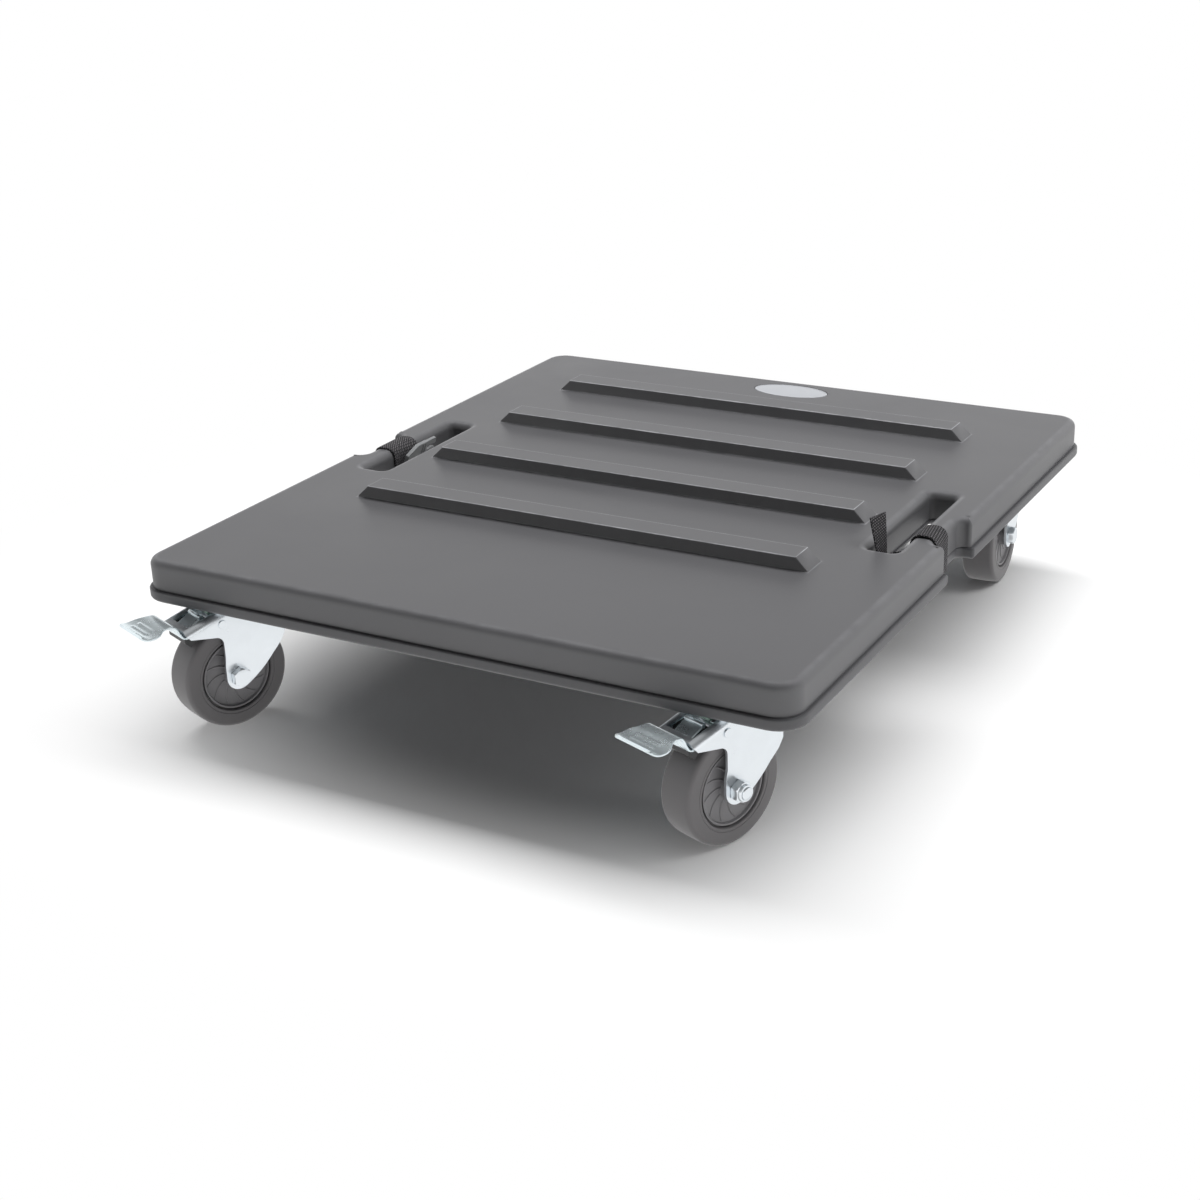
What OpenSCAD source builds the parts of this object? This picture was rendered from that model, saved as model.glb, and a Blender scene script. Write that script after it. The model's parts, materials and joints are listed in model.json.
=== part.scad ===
// Caster platform: a twin-skin plastic deck with ribs and two strap slots, on four swivel casters.
// The two front casters have a foot brake. Millimetres, +Z up, the floor at z = 0.
// X runs along the front edge of the deck and +Y points to its back edge.

/* [Deck] */
// Width of the deck across its side walls
deck_w = 630; // [610:2:680]
// Length of the deck between its front and back walls
deck_l = 718; // [704:2:800]
// Height of the load face above the floor
load_face_z = 159; // [158:0.5:164]
// Distance from the floor origin back to the deck centre
deck_centre_y = 27; // [0:1:60]
// Corner radius of the deck in plan
deck_corner_r = 22; // [16:1:36]
// Radius of the rounded top edge
edge_r = 7; // [5:0.5:9]
// Wall thickness of both skins
skin_wall = 4; // [3:0.25:4.5]
// Height of the side walls with the lip
deck_h = 38; // [37:0.5:39]
// Height of the welded lip round the bottom edge
lip_h = 11; // [10:0.5:13]
// How far the lip stands out from the side walls
lip_out = 3.5; // [2:0.25:5]
// Radius under the lip
lip_under_r = 4; // [1:0.5:6]
// Depth of the recessed underside above the bottom of the lip
base_recess = 5; // [4.5:0.25:5.5]
// Pitch of the stiffening webs inside the deck
web_pitch = 75; // [60:1:76]
// Thickness of the stiffening webs
web_t = 2.5; // [1.5:0.25:4]

/* [Load ribs] */
// Number of ribs on the load face
rib_count = 4; // [2:1:4]
// Length of a rib at its foot
rib_l = 465.6; // [300:1:480]
// Width of a rib at its top
rib_w = 25.7; // [16:0.1:36]
// Height of a rib above the load face
rib_h = 12; // [6:0.5:16]
// Run of the sloped ends of a rib
rib_end_run = 11.7; // [4:0.1:20]
// Run of each long side of a rib, nearly upright
rib_side_run = 1; // [0.5:0.25:4]
// Pitch of the ribs
rib_pitch = 125.65; // [80:0.05:130]
// Centre of the first rib, measured from the deck centre
rib_first_y = -134.1; // [-170:0.1:-110]

/* [Strap slots] */
// Width of a strap slot
slot_w = 26; // [24:0.5:30]
// Length of a strap slot
slot_l = 155; // [140:1:180]
// Distance from the deck centre to the inner wall of a slot
slot_inner_x = 255.5; // [250:0.5:257]
// Centre of the slots, measured from the deck centre
slot_y = 4.5; // [0:0.5:8]
// Corner radius of a slot in plan
slot_corner_r = 5; // [3:0.5:7]
// Radius of the rounded mouth of a slot
slot_edge_r = 8; // [6:0.5:8.5]
// Thickness of the bar between a slot and its notch
bar_w = 21.5; // [19:0.5:23]
// Length of the notch in the side of the deck
notch_l = 67.5; // [66:0.5:90]
// Centre of the notches, measured from the deck centre
notch_y = -7.25; // [-9:0.25:-7]
// Radius of the upright inner corners of a notch
notch_corner_r = 8; // [4:0.5:10]
// Radius of the upright outer corners of a notch
notch_mouth_r = 3; // [1:0.5:6]
// Inward flange of the lower skin round a slot or notch
slot_flange = 1.5; // [0.5:0.25:2]
// Height of the lower edge of that flange in a slot, above the bottom of the lip
slot_rim_h = 8; // [7:0.25:9]

/* [Badge] */
// Length of the blank oval badge
badge_l = 84; // [50:1:100]
// Width of the blank oval badge
badge_w = 41; // [24:1:46]
// Thickness of the badge
badge_t = 1.5; // [0.8:0.1:2]
// Centre of the badge across the deck
badge_x = 3; // [-20:1:20]
// Centre of the badge, measured from the deck centre
badge_y = 324; // [318:1:326]
// Clearance round the badge in its recess
badge_gap = 0.5; // [0.2:0.1:1]

/* [Casters] */
// Distance from the deck centre to a front kingpin across the deck
kingpin_x = 246.5; // [240:0.5:250]
// Distance from the deck centre to a rear kingpin across the deck
rear_kingpin_x = 249.5; // [240:0.5:252]
// Distance from the deck centre to a kingpin along the deck
kingpin_y = 301.5; // [292:0.5:304]
// Distance of the wheel axle behind the kingpin
trail = 27; // [25:0.5:30]
// Swivel angle of the front left caster
front_left_angle = -21.4; // [-180:0.1:180]
// Swivel angle of the front right caster
front_right_angle = -20.1; // [-180:0.1:180]
// Swivel angle of the rear left caster
rear_left_angle = 3; // [-180:0.1:180]
// Swivel angle of the rear right caster
rear_right_angle = 3.3; // [-180:0.1:180]
// Length of the mounting plate
plate_l = 95; // [92:1:98]
// Width of the mounting plate
plate_w = 75; // [72:1:80]
// Thickness of the mounting plate
plate_t = 3; // [2.5:0.25:3.5]
// Corner radius of the mounting plate
plate_corner_r = 6; // [3:0.5:8]
// Bolt pitch along the mounting plate
bolt_pitch_l = 76; // [74:1:78]
// Bolt pitch across the mounting plate
bolt_pitch_w = 54; // [52:1:56]
// Thread diameter of the plate bolts
plate_bolt_d = 8; // [6:1:8]
// Height of the low heads of the plate bolts
plate_bolt_head_h = 4; // [3:0.25:4.5]
// Clearance of a bolt in its hole, in diameter
bolt_clearance = 0.4; // [0.2:0.1:1]

/* [Swivel bearing] */
// Shank diameter of the kingpin
kingpin_d = 12; // [10:0.5:13]
// Running clearance of the turning fits, in radius
running_gap = 0.05; // [0.03:0.01:0.09]
// Ball diameter of the upper race
upper_ball_d = 6; // [5.5:0.25:6.25]
// Pitch radius of the upper race
upper_race_r = 20; // [18:0.5:21]
// Balls in the upper race
upper_balls = 16; // [8:1:16]
// Ball diameter of the lower race
lower_ball_d = 4; // [3:0.25:4.25]
// Pitch radius of the lower race
lower_race_r = 13; // [12:0.25:14]
// Balls in the lower race
lower_balls = 14; // [8:1:16]
// Height of the dust ring under the mounting plate
dust_ring_h = 4.5; // [2:0.25:4.75]
// Thickness of the lower race
lower_race_t = 2.6; // [2:0.1:3]

/* [Fork] */
// Half of the outer width of the fork below its head
fork_half_w = 22.4; // [21.5:0.1:23.5]
// Thickness of the fork sheet
fork_t = 2.5; // [2:0.1:2.75]
// Inward joggle of each leg above the axle
leg_joggle = 2; // [1.5:0.25:2.5]
// Outside bend radius between the fork head and its sides
fork_bend_r = 6.5; // [4:0.5:8]
// Radius of the rounded foot of a leg
leg_foot_r = 12.5; // [11:0.25:13]
// Reach of the fork behind the axle
fork_back = 52; // [48:0.5:54]
// Radius of the bulging back edge of a leg
leg_bulge_r = 101; // [90:1:110]
// Lean of the leg from its foot to the middle of its bulge
leg_bulge_lean = 27; // [24:0.5:30]
// Height of the arm above the axle, where its underside leaves the leg
arm_rise = 42; // [40:0.25:44]
// Slope of the underside of the arm
arm_slope = 11.6; // [8:0.1:14]
// Fillet between the leg and the arm
arm_fillet_r = 8; // [5:0.5:10]
// Reach of the brake hood in front of the axle
hood_reach = 47.5; // [46:0.25:49]
// Where the hood begins to slope, in front of the axle
hood_start = 7; // [5:0.5:9]
// Slope of the hood
hood_slope = 15.1; // [14:0.1:16]
// Length of the brake window
window_l = 29.5; // [26:0.5:30]
// Width of the brake window
window_w = 31; // [28:0.5:32]
// Width of the sheet left in front of the window
window_frame = 6; // [5:0.25:7]

/* [Wheel] */
// Wheel diameter
wheel_d = 100; // [98:0.5:101]
// Width of the tyre
tyre_w = 32.3; // [30:0.1:33]
// Shoulder radius of the tyre
tyre_shoulder_r = 4; // [2:0.5:6]
// Radius of the seat between wheel centre and tyre
tyre_seat_r = 33.1; // [31:0.1:35]
// Width of the ring groove on each wheel face
ring_groove = 1.4; // [0.8:0.1:2]
// Diameter of the hub boss
hub_d = 21; // [18:0.5:24]
// Width of the web between hub and rim
web_w = 24; // [16:0.5:26]
// Width of the rim of the wheel centre
rim_w = 30; // [28:0.5:31]
// Depth of the rim of the wheel centre
rim_depth = 2.4; // [1.5:0.1:4]
// Vanes on each face of the wheel centre
vane_count = 12; // [6:1:14]
// Thickness of a vane
vane_t = 1.8; // [1:0.1:3]
// How far the vanes stand out from the web
vane_rise = 1.5; // [0.5:0.1:2]
// Axle thread diameter
axle_d = 10; // [8:0.5:10]
// Wall of the steel sleeve on the axle
sleeve_wall = 1.4; // [1:0.1:1.8]
// Side play of the hub between the legs, each side
hub_play = 0.3; // [0.1:0.1:0.5]
// Width across the flats of the axle bolt and nut
axle_flats = 16; // [13:0.5:17]
// Height of the axle bolt head
axle_head_h = 6.4; // [4:0.1:7]
// Height of the lock nut with its collar
axle_nut_h = 10; // [8:0.1:11]
// Length of thread past the lock nut
thread_end = 0.6; // [0.2:0.1:3]

/* [Brake] */
// Pivot pin in front of the axle
brake_pin_reach = 12; // [11:0.25:13]
// Pivot pin below the top of the fork
brake_pin_drop = 12.8; // [12.4:0.1:13.2]
// Diameter of the pivot pin
brake_pin_d = 5; // [4:0.25:5]
// Height of the rivet heads on the pivot pin
rivet_head_h = 1.2; // [0.8:0.1:2]
// Thickness of the pedal sheet
pedal_t = 2; // [1.5:0.25:2.25]
// Half width of the tongue seen in the window
tongue_half_w = 10.5; // [8:0.5:12]
// Half width of the pedal where it leaves the hood
pedal_neck_half_w = 18.8; // [18:0.1:19]
// Half width of the pedal at its tip
pedal_tip_half_w = 25; // [22:0.5:27]
// Length of the raised beads on the pedal
bead_l = 24; // [16:1:30]
// Half width of the black brake shoe
shoe_half_w = 15; // [10:0.5:15.5]
// Gap between the released shoe and the tread
shoe_gap = 5.4; // [5.2:0.1:6]
// Half width of the leaf spring
spring_half_w = 9; // [6:0.5:10]
// Thickness of the leaf spring
spring_t = 1.2; // [0.8:0.1:1.4]

/* [Straps] */
// Width of the left strap
left_strap_w = 41; // [30:1:44]
// Centre of the left strap, measured from the deck centre
left_strap_y = -1; // [-6:0.5:3]
// Width of the right strap
right_strap_w = 29; // [20:1:32]
// Centre of the right strap, measured from the deck centre
right_strap_y = -20; // [-21:0.5:-12]
// Thickness of the webbing
webbing_t = 1.7; // [1.2:0.1:2]
// Clearance of a strap from the bar it goes round
strap_gap = 0.3; // [0.2:0.1:0.5]
// How far the right strap stands off the top of its bar
right_strap_lift = 1; // [0.5:0.25:4]
// Width of the free tail of the right strap
tail_w = 21.5; // [18:0.5:23]
// Height of the free tail above the load face
tail_rise = 26; // [15:0.5:35]
// Lean of the free tail towards the middle of the deck at its end
tail_lean = 4.5; // [0:0.5:6]
// Twist of the free tail at its end
tail_twist = 17; // [0:1:25]
// Length of the buckle body
buckle_l = 32; // [26:0.5:34]
// Width of the buckle body
buckle_w = 25; // [22:0.5:26]
// Thickness of the buckle
buckle_t = 4.5; // [3.5:0.25:5]
// Length of the cut corner of the buckle
buckle_cut_l = 15; // [8:0.5:18]
// Height of the cut corner of the buckle
buckle_cut_h = 8.5; // [5:0.5:12]
// Length of the buckle prongs
prong_l = 16; // [12:0.5:18]
// Width of a buckle prong
prong_w = 4.5; // [3:0.25:5]
// How far the buckle stands above the load face
buckle_rise = 4; // [0:0.5:6]
// Front end of the buckle body, measured from the deck centre
buckle_front_y = -19.5; // [-22:0.5:-12]
// Lean of the buckle from upright
buckle_lean = 10; // [0:1:14]

/* [Hidden] */
$fn = 64;

// How far a cutter passes through a face
through = 1;
// Facets of the oval badge and of each sheet bend
oval_facets = 72;
bend_facets = 8;

// Heights of the deck
deck_bottom_z = load_face_z - deck_h;
lip_top_z = deck_bottom_z + lip_h;
mount_z = deck_bottom_z + base_recess;
floor_top_z = mount_z + skin_wall;
skin_under_z = load_face_z - skin_wall;

// Edges of the slots and notches, measured from the deck centre
slot_outer_x = slot_inner_x + slot_w;
notch_x = slot_outer_x + bar_w;
slot_front_y = slot_y - slot_l / 2;
slot_rim_z = deck_bottom_z + slot_rim_h;
slot_relief_w = 3;

// Heights and radii of the swivel bearing
plate_under_z = mount_z - plate_t;
fork_top_z = plate_under_z - upper_ball_d;
fork_under_z = fork_top_z - fork_t;
lower_race_top_z = fork_under_z - lower_ball_d;
lower_race_under_z = lower_race_top_z - lower_race_t;
ring_t = 1.6;
ring_gap = 0.8;
lower_rim_h = 2.2;
kingpin_foot_h = 2;
kingpin_foot_r = kingpin_d / 2 + 2.5;

// Plate bolts and nuts
plate_head_r = 0.85 * plate_bolt_d;
plate_nut_h = 0.8 * plate_bolt_d;
plate_nut_flats = 1.625 * plate_bolt_d;

// Wheel and leg sizes
wheel_r = wheel_d / 2;
leg_outer = fork_half_w - leg_joggle;
leg_inner = leg_outer - fork_t;
leg_split_z = wheel_r + 30;
joggle_top_z = wheel_r + 22;
joggle_low_z = wheel_r + 12;
sleeve_bore = axle_d + 2 * running_gap;
sleeve_d = sleeve_bore + 2 * sleeve_wall;
shank_d = axle_d - 2 * running_gap;

// Brake hood, in front of the axle
hood_front_z = fork_top_z - (hood_reach - hood_start) * tan(hood_slope);
window_front = hood_reach - window_frame;
nose_run = 4.5;
brake_pin_z = fork_top_z - brake_pin_drop;

// Middle line of the pedal sheet: distance in front of the axle and height
pedal_line = [
    [window_front - 16, fork_top_z - 6.8],
    [window_front - 8, fork_top_z - 11.2],
    [window_front, fork_top_z - 15.4],
    [hood_reach - 1, fork_top_z - 17.2],
    [hood_reach + 2.6, fork_top_z - 13.6],
    [hood_reach + 5.8, fork_top_z - 7],
    [hood_reach + 9.2, fork_top_z - 3.9],
    [hood_reach + 14, fork_top_z - 3.1],
    [hood_reach + 19.5, fork_top_z - 3.5],
    [hood_reach + 25.5, fork_top_z - 5.4],
    [hood_reach + 31.5, fork_top_z - 6.1],
    [hood_reach + 36.5, fork_top_z - 5.4],
    [hood_reach + 39.7, fork_top_z - 3.9]
];
pedal_roll_r = 2.2;
pedal_neck_start = window_front + 0.5;
pedal_flare_start = hood_reach + 15;
pedal_flare_end = hood_reach + 28;
pedal_tip_r = 5;
pedal_ear_r = 4.5;
bead_r = 1.2;
bead_pitch = 5;
bead_step = 0.6;

// Middle line of the leaf spring
spring_line = [
    [-8, fork_under_z - spring_t / 2],
    [hood_start - 1, fork_under_z - spring_t / 2],
    [brake_pin_reach + 0.5, fork_under_z - spring_t / 2 - 2.2],
    [brake_pin_reach + 5, fork_under_z - spring_t / 2 - 1.4]
];
spring_roll_r = 1.6;

// Point on a curve through the points p, q, r and s, at the share t of the way from q to r
function curve_point(p, q, r, s, t) =
    (2 * q + (r - p) * t + (2 * p - 5 * q + 4 * r - s) * t ^ 2 + (3 * q - p - 3 * r + s) * t ^ 3) / 2;

// Smooth line through the given points, with n steps between neighbours
function smooth_line(points, n) = concat(
    [
        for (i = [0:len(points) - 2], k = [0:n - 1])
            curve_point(points[max(i - 1, 0)], points[i], points[i + 1],
                points[min(i + 2, len(points) - 1)], k / n)
    ],
    [points[len(points) - 1]]
);

// Line at a distance to the left of the given line
function beside(line, distance) = [
    for (i = [0:len(line) - 1])
        let (run = line[min(i + 1, len(line) - 1)] - line[max(i - 1, 0)])
            line[i] + distance * [-run[1], run[0]] / norm(run)
];

function reversed(list) = [for (i = [len(list) - 1:-1:0]) list[i]];

// Points on a quarter circle, from one angle to 90 degrees past it
function quarter(centre, r, start) = [
    for (k = [0:bend_facets])
        let (turn = start + k * 90 / bend_facets)
            centre + r * [cos(turn), sin(turn)]
];

// Outlines

// Rectangle with round corners, given by its centre
module round_rect(w, l, r) {
    square([w - 2 * r, l], center = true);
    square([w, l - 2 * r], center = true);
    for (x = [-1, 1], y = [-1, 1])
        translate([x * (w / 2 - r), y * (l / 2 - r)]) circle(r);
}

// Hexagon by its width across the flats
module hexagon(flats) {
    circle(d = flats / cos(30), $fn = 6);
}

// Oval with plane facets
module oval(l, w) {
    polygon([for (k = [0:oval_facets - 1])
        let (turn = k * 360 / oval_facets) [l / 2 * cos(turn), w / 2 * sin(turn)]]);
}

// Section of a sheet that follows a line
module sheet_section(line, t) {
    polygon(concat(beside(line, -t / 2), reversed(beside(line, t / 2))));
}

// Half section of a slab, from its corner centre outwards, with a rounded top edge
module slab_edge(reach, h, top_r) {
    square([reach - top_r, h]);
    square([reach, h - top_r]);
    translate([reach - top_r, h - top_r])
        intersection() {
            circle(top_r);
            square(top_r);
        }
}

// Half section of a cutter whose mouth flares out at the top with a rounded edge
module mouth_edge(reach, h, mouth_r) {
    square([reach, h + through]);
    difference() {
        translate([0, h - mouth_r]) square([reach + mouth_r, mouth_r + through]);
        translate([reach + mouth_r, h - mouth_r]) circle(mouth_r);
    }
}

// Solid of a round-cornered rectangle, whose half section from the corner centre is the child
module swept_rect(w, l, corner_r, h) {
    translate([0, 0, h / 2]) cube([w - 2 * corner_r, l - 2 * corner_r, h], center = true);
    for (k = [0:3]) {
        run = (k % 2 == 0 ? l : w) - 2 * corner_r;
        side = (k % 2 == 0 ? w : l) / 2 - corner_r;
        rotate(90 * k) translate([side, run / 2, 0]) {
            rotate([90, 0, 0]) linear_extrude(run) children();
            rotate_extrude(angle = 90) children();
        }
    }
}

// Deck

// Puts a piece that is built about the deck centre at its place over the floor origin
module on_deck() {
    translate([0, deck_centre_y, 0]) children();
}

// One load rib
module rib(l, w, h) {
    intersection() {
        rotate([90, 0, 0])
            linear_extrude(2 * w, center = true)
                polygon([[-l / 2, 0], [l / 2, 0], [l / 2 - rib_end_run, h], [rib_end_run - l / 2, h]]);
        rotate([90, 0, 90])
            linear_extrude(l, center = true)
                polygon([[-w / 2 - rib_side_run, 0], [w / 2 + rib_side_run, 0], [w / 2, h], [-w / 2, h]]);
    }
}

module at_ribs() {
    for (k = [0:rib_count - 1]) translate([0, rib_first_y + k * rib_pitch, 0]) children();
}

// Cutters for both slots, narrowed by a flange on all sides but that of the bar
module slot_cutters(flange, bottom_z) {
    h = load_face_z - bottom_z;
    r = slot_corner_r - flange;
    for (side = [-1, 1])
        translate([side * (slot_inner_x + (slot_w + flange) / 2), slot_y, bottom_z])
            swept_rect(slot_w - flange, slot_l - 2 * flange, r, h + through) mouth_edge(r, h, slot_edge_r);
}

// Cutters for both notches, with a flange at both ends, in a side wall at the given distance
module notch_cutters(flange, bottom_z, wall_x) {
    h = load_face_z - bottom_z;
    r = notch_corner_r - flange;
    reach = wall_x + 2 * notch_corner_r - notch_x;
    half_l = notch_l / 2 - flange;
    for (side = [0, 1]) mirror([side, 0, 0]) translate([0, notch_y, bottom_z]) {
        translate([notch_x + reach / 2, 0, 0])
            swept_rect(reach, 2 * half_l, r, h + through) mouth_edge(r, h, edge_r);
        for (end = [0, 1]) mirror([0, end, 0])
            linear_extrude(h + through)
                difference() {
                    translate([wall_x - notch_mouth_r, half_l - through])
                        square([notch_mouth_r + through, notch_mouth_r + through]);
                    translate([wall_x - notch_mouth_r, half_l + notch_mouth_r]) circle(notch_mouth_r);
                }
    }
}

// Blocks round the slots and notches, which become their walls once these are cut
module slot_blocks(slot_bottom_z, notch_bottom_z, top_z) {
    for (side = [-1, 1]) {
        translate([side * (slot_inner_x + slot_w / 2), slot_y, slot_bottom_z])
            linear_extrude(top_z - slot_bottom_z)
                square([slot_w + 2 * skin_wall, slot_l + 2 * skin_wall], center = true);
        translate([side * (notch_x + deck_w / 2 - 2 * skin_wall) / 2, notch_y, notch_bottom_z])
            linear_extrude(top_z - notch_bottom_z)
                square([deck_w / 2 - notch_x + skin_wall, notch_l + 2 * skin_wall], center = true);
    }
}

// Stiffening webs across the deck, short beside the slots
module webs(bottom_z, top_z) {
    reach = floor((deck_l / 2 - 3 * skin_wall) / web_pitch);
    for (k = [-reach:reach]) {
        beside_slot = abs(k * web_pitch - slot_y) < slot_l / 2 + 3 * skin_wall;
        l = beside_slot ? 2 * slot_inner_x - skin_wall : deck_w - 3 * skin_wall;
        translate([0, k * web_pitch, (bottom_z + top_z) / 2])
            cube([l, web_t, top_z - bottom_z], center = true);
    }
}

module deck_top() {
    side_h = load_face_z - lip_top_z;
    color([0.24, 0.24, 0.25]) on_deck() difference() {
        union() {
            translate([0, 0, lip_top_z])
                swept_rect(deck_w, deck_l, deck_corner_r, side_h) slab_edge(deck_corner_r, side_h, edge_r);
            at_ribs() translate([0, 0, skin_under_z + through]) rib(rib_l, rib_w, rib_h + skin_wall - through);
        }
        difference() {
            translate([0, 0, lip_top_z - through])
                swept_rect(deck_w - 2 * skin_wall, deck_l - 2 * skin_wall, deck_corner_r - skin_wall,
                    side_h - skin_wall + through)
                    slab_edge(deck_corner_r - skin_wall, side_h - skin_wall + through, edge_r - skin_wall);
            slot_blocks(lip_top_z - 2 * through, lip_top_z - 2 * through, load_face_z);
            webs(lip_top_z - 2 * through, load_face_z);
        }
        at_ribs() translate([0, 0, skin_under_z - through])
            rib(rib_l - 4 * skin_wall, rib_w - 2 * skin_wall, rib_h + through);
        slot_cutters(0, lip_top_z - through);
        notch_cutters(0, lip_top_z - through, deck_w / 2);
        translate([badge_x, badge_y, load_face_z - badge_t])
            linear_extrude(badge_t + through) oval(badge_l + 2 * badge_gap, badge_w + 2 * badge_gap);
    }
}

// Rims of the lower skin round the slots, wide enough to join the floor outside the relief
module slot_rims() {
    grow = 2 * slot_relief_w;
    for (side = [-1, 1])
        translate([side * (slot_inner_x + slot_w / 2), slot_y, slot_rim_z])
            linear_extrude(lip_top_z - slot_rim_z)
                round_rect(slot_w + 2 * grow, slot_l + 2 * grow, slot_corner_r + grow);
}

// The floor stays clear of each slot below its rim, but not at the bar
module slot_relief() {
    grow = slot_relief_w;
    for (side = [-1, 1])
        translate([side * (slot_inner_x + (slot_w - grow) / 2), slot_y, deck_bottom_z - through])
            linear_extrude(slot_rim_h + through)
                round_rect(slot_w + grow, slot_l + 2 * grow, slot_corner_r);
}

module deck_base() {
    lip_w = deck_w + 2 * lip_out;
    lip_l = deck_l + 2 * lip_out;
    lip_r = deck_corner_r + lip_out;
    band_t = lip_out + 2 * skin_wall;
    floor_edge = 1.5 * skin_wall;
    color([0.2, 0.2, 0.21]) on_deck() difference() {
        union() {
            difference() {
                translate([0, 0, deck_bottom_z + lip_h])
                    mirror([0, 0, 1])
                        swept_rect(lip_w, lip_l, lip_r, lip_h) slab_edge(lip_r, lip_h, lip_under_r);
                translate([0, 0, deck_bottom_z - through])
                    linear_extrude(lip_h + 2 * through)
                        round_rect(lip_w - 2 * band_t, lip_l - 2 * band_t, lip_r - band_t);
            }
            slot_blocks(slot_rim_z, deck_bottom_z, lip_top_z);
            slot_rims();
            translate([0, 0, mount_z])
                linear_extrude(skin_wall)
                    round_rect(deck_w - 2 * floor_edge, deck_l - 2 * floor_edge, deck_corner_r - floor_edge);
            intersection() {
                webs(floor_top_z - through, lip_top_z);
                cube([deck_w - 4 * floor_edge, deck_l, 2 * load_face_z], center = true);
            }
        }
        slot_cutters(slot_flange, deck_bottom_z - through);
        notch_cutters(slot_flange, deck_bottom_z - through, deck_w / 2 + lip_out);
        slot_relief();
        at_plates() at_bolts()
            translate([0, 0, mount_z - through])
                cylinder(h = skin_wall + 2 * through, d = plate_bolt_d + bolt_clearance);
    }
}

module badge() {
    color("gray") on_deck()
        translate([badge_x, badge_y, load_face_z - badge_t]) linear_extrude(badge_t) oval(badge_l, badge_w);
}

// Distance of a kingpin from the deck centre, across the deck, in the front row (-1) or the rear row (1)
function row_kingpin_x(row) = row < 0 ? kingpin_x : rear_kingpin_x;

module at_plates() {
    for (column = [-1, 1], row = [-1, 1])
        translate([column * row_kingpin_x(row), row * kingpin_y, 0]) children();
}

module at_bolts() {
    for (x = [-1, 1], y = [-1, 1])
        translate([x * bolt_pitch_w / 2, y * bolt_pitch_l / 2, 0]) children();
}

module plate_bolts() {
    color("silver") on_deck() at_plates() at_bolts() {
        translate([0, 0, plate_under_z - plate_bolt_head_h])
            cylinder(h = plate_bolt_head_h, r = plate_head_r);
        translate([0, 0, plate_under_z - through])
            cylinder(h = floor_top_z + plate_nut_h - plate_under_z + 2 * through, d = plate_bolt_d);
    }
}

module plate_nuts() {
    color("silver") on_deck() at_plates() at_bolts()
        translate([0, 0, floor_top_z])
            difference() {
                linear_extrude(plate_nut_h) hexagon(plate_nut_flats);
                translate([0, 0, -through]) cylinder(h = plate_nut_h + 2 * through, d = plate_bolt_d);
            }
}

// Straps

// Section of a strap loop: x runs outwards from the slot side of the bar, y is the height
function loop_outline(lift, grow) =
    let (
        slot_side = -strap_gap,
        notch_side = bar_w + strap_gap,
        low_z = deck_bottom_z - strap_gap,
        top_z = load_face_z + strap_gap + lift,
        low_r = 0.5,
        slot_r = slot_edge_r + strap_gap + lift,
        notch_r = edge_r + strap_gap + lift
    )
    concat(
        quarter([notch_side - notch_r, top_z - notch_r], notch_r + grow, 0),
        quarter([slot_side + slot_r, top_z - slot_r], slot_r + grow, 90),
        quarter([slot_side + low_r, low_z + low_r], low_r + grow, 180),
        quarter([notch_side - low_r, low_z + low_r], low_r + grow, 270)
    );

// Closed loop of webbing round the bar on one side
module strap_loop(side, strap_w, strap_y, lift) {
    mirror([1 - side, 0, 0])
        translate([slot_outer_x, strap_y, 0])
            rotate([90, 0, 0])
                linear_extrude(strap_w, center = true)
                    difference() {
                        polygon(loop_outline(lift, webbing_t));
                        polygon(loop_outline(lift, 0));
                    }
}

// Distance from the deck centre to the face of a strap inside its slot
strap_face_x = slot_outer_x - strap_gap - webbing_t;

// Short cross piece of webbing: a flat bar of the given height across the tail
module webbing_bar(at, w, h, twist) {
    translate(at) rotate(twist) cube([webbing_t, w, h], center = true);
}

module left_strap() {
    shelf_top_z = buckle_foot_z - buckle_t * sin(buckle_lean);
    shelf_depth = webbing_t / 2 + buckle_stand + buckle_t;
    color([0.13, 0.13, 0.13]) on_deck() {
        strap_loop(-1, left_strap_w, left_strap_y, 0);
        translate([-strap_face_x - webbing_t / 2, buckle_front_y, shelf_top_z - webbing_t])
            cube([shelf_depth, buckle_l / 2, webbing_t]);
    }
}

// Foot of the buckle in the slot, and its distance from the strap
buckle_foot_z = load_face_z + buckle_rise - buckle_w * cos(buckle_lean);
buckle_stand = 6.8;

// Half of a side-release buckle: a plate with cut corners, two side prongs and a middle guide
module left_buckle() {
    color([0.42, 0.43, 0.44]) on_deck()
        translate([-strap_face_x + buckle_stand, buckle_front_y, buckle_foot_z])
            rotate([0, buckle_lean, 0])
                rotate([90, 0, 90])
                    linear_extrude(buckle_t) {
                        polygon([
                            [0, 0], [buckle_l, 0], [buckle_l, buckle_w], [buckle_cut_l, buckle_w],
                            [0, buckle_w - buckle_cut_h]
                        ]);
                        for (y = [0, (buckle_w - prong_w) / 2, buckle_w - prong_w])
                            translate([buckle_l - through, y]) square([prong_l + through, prong_w]);
                    }
}

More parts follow.
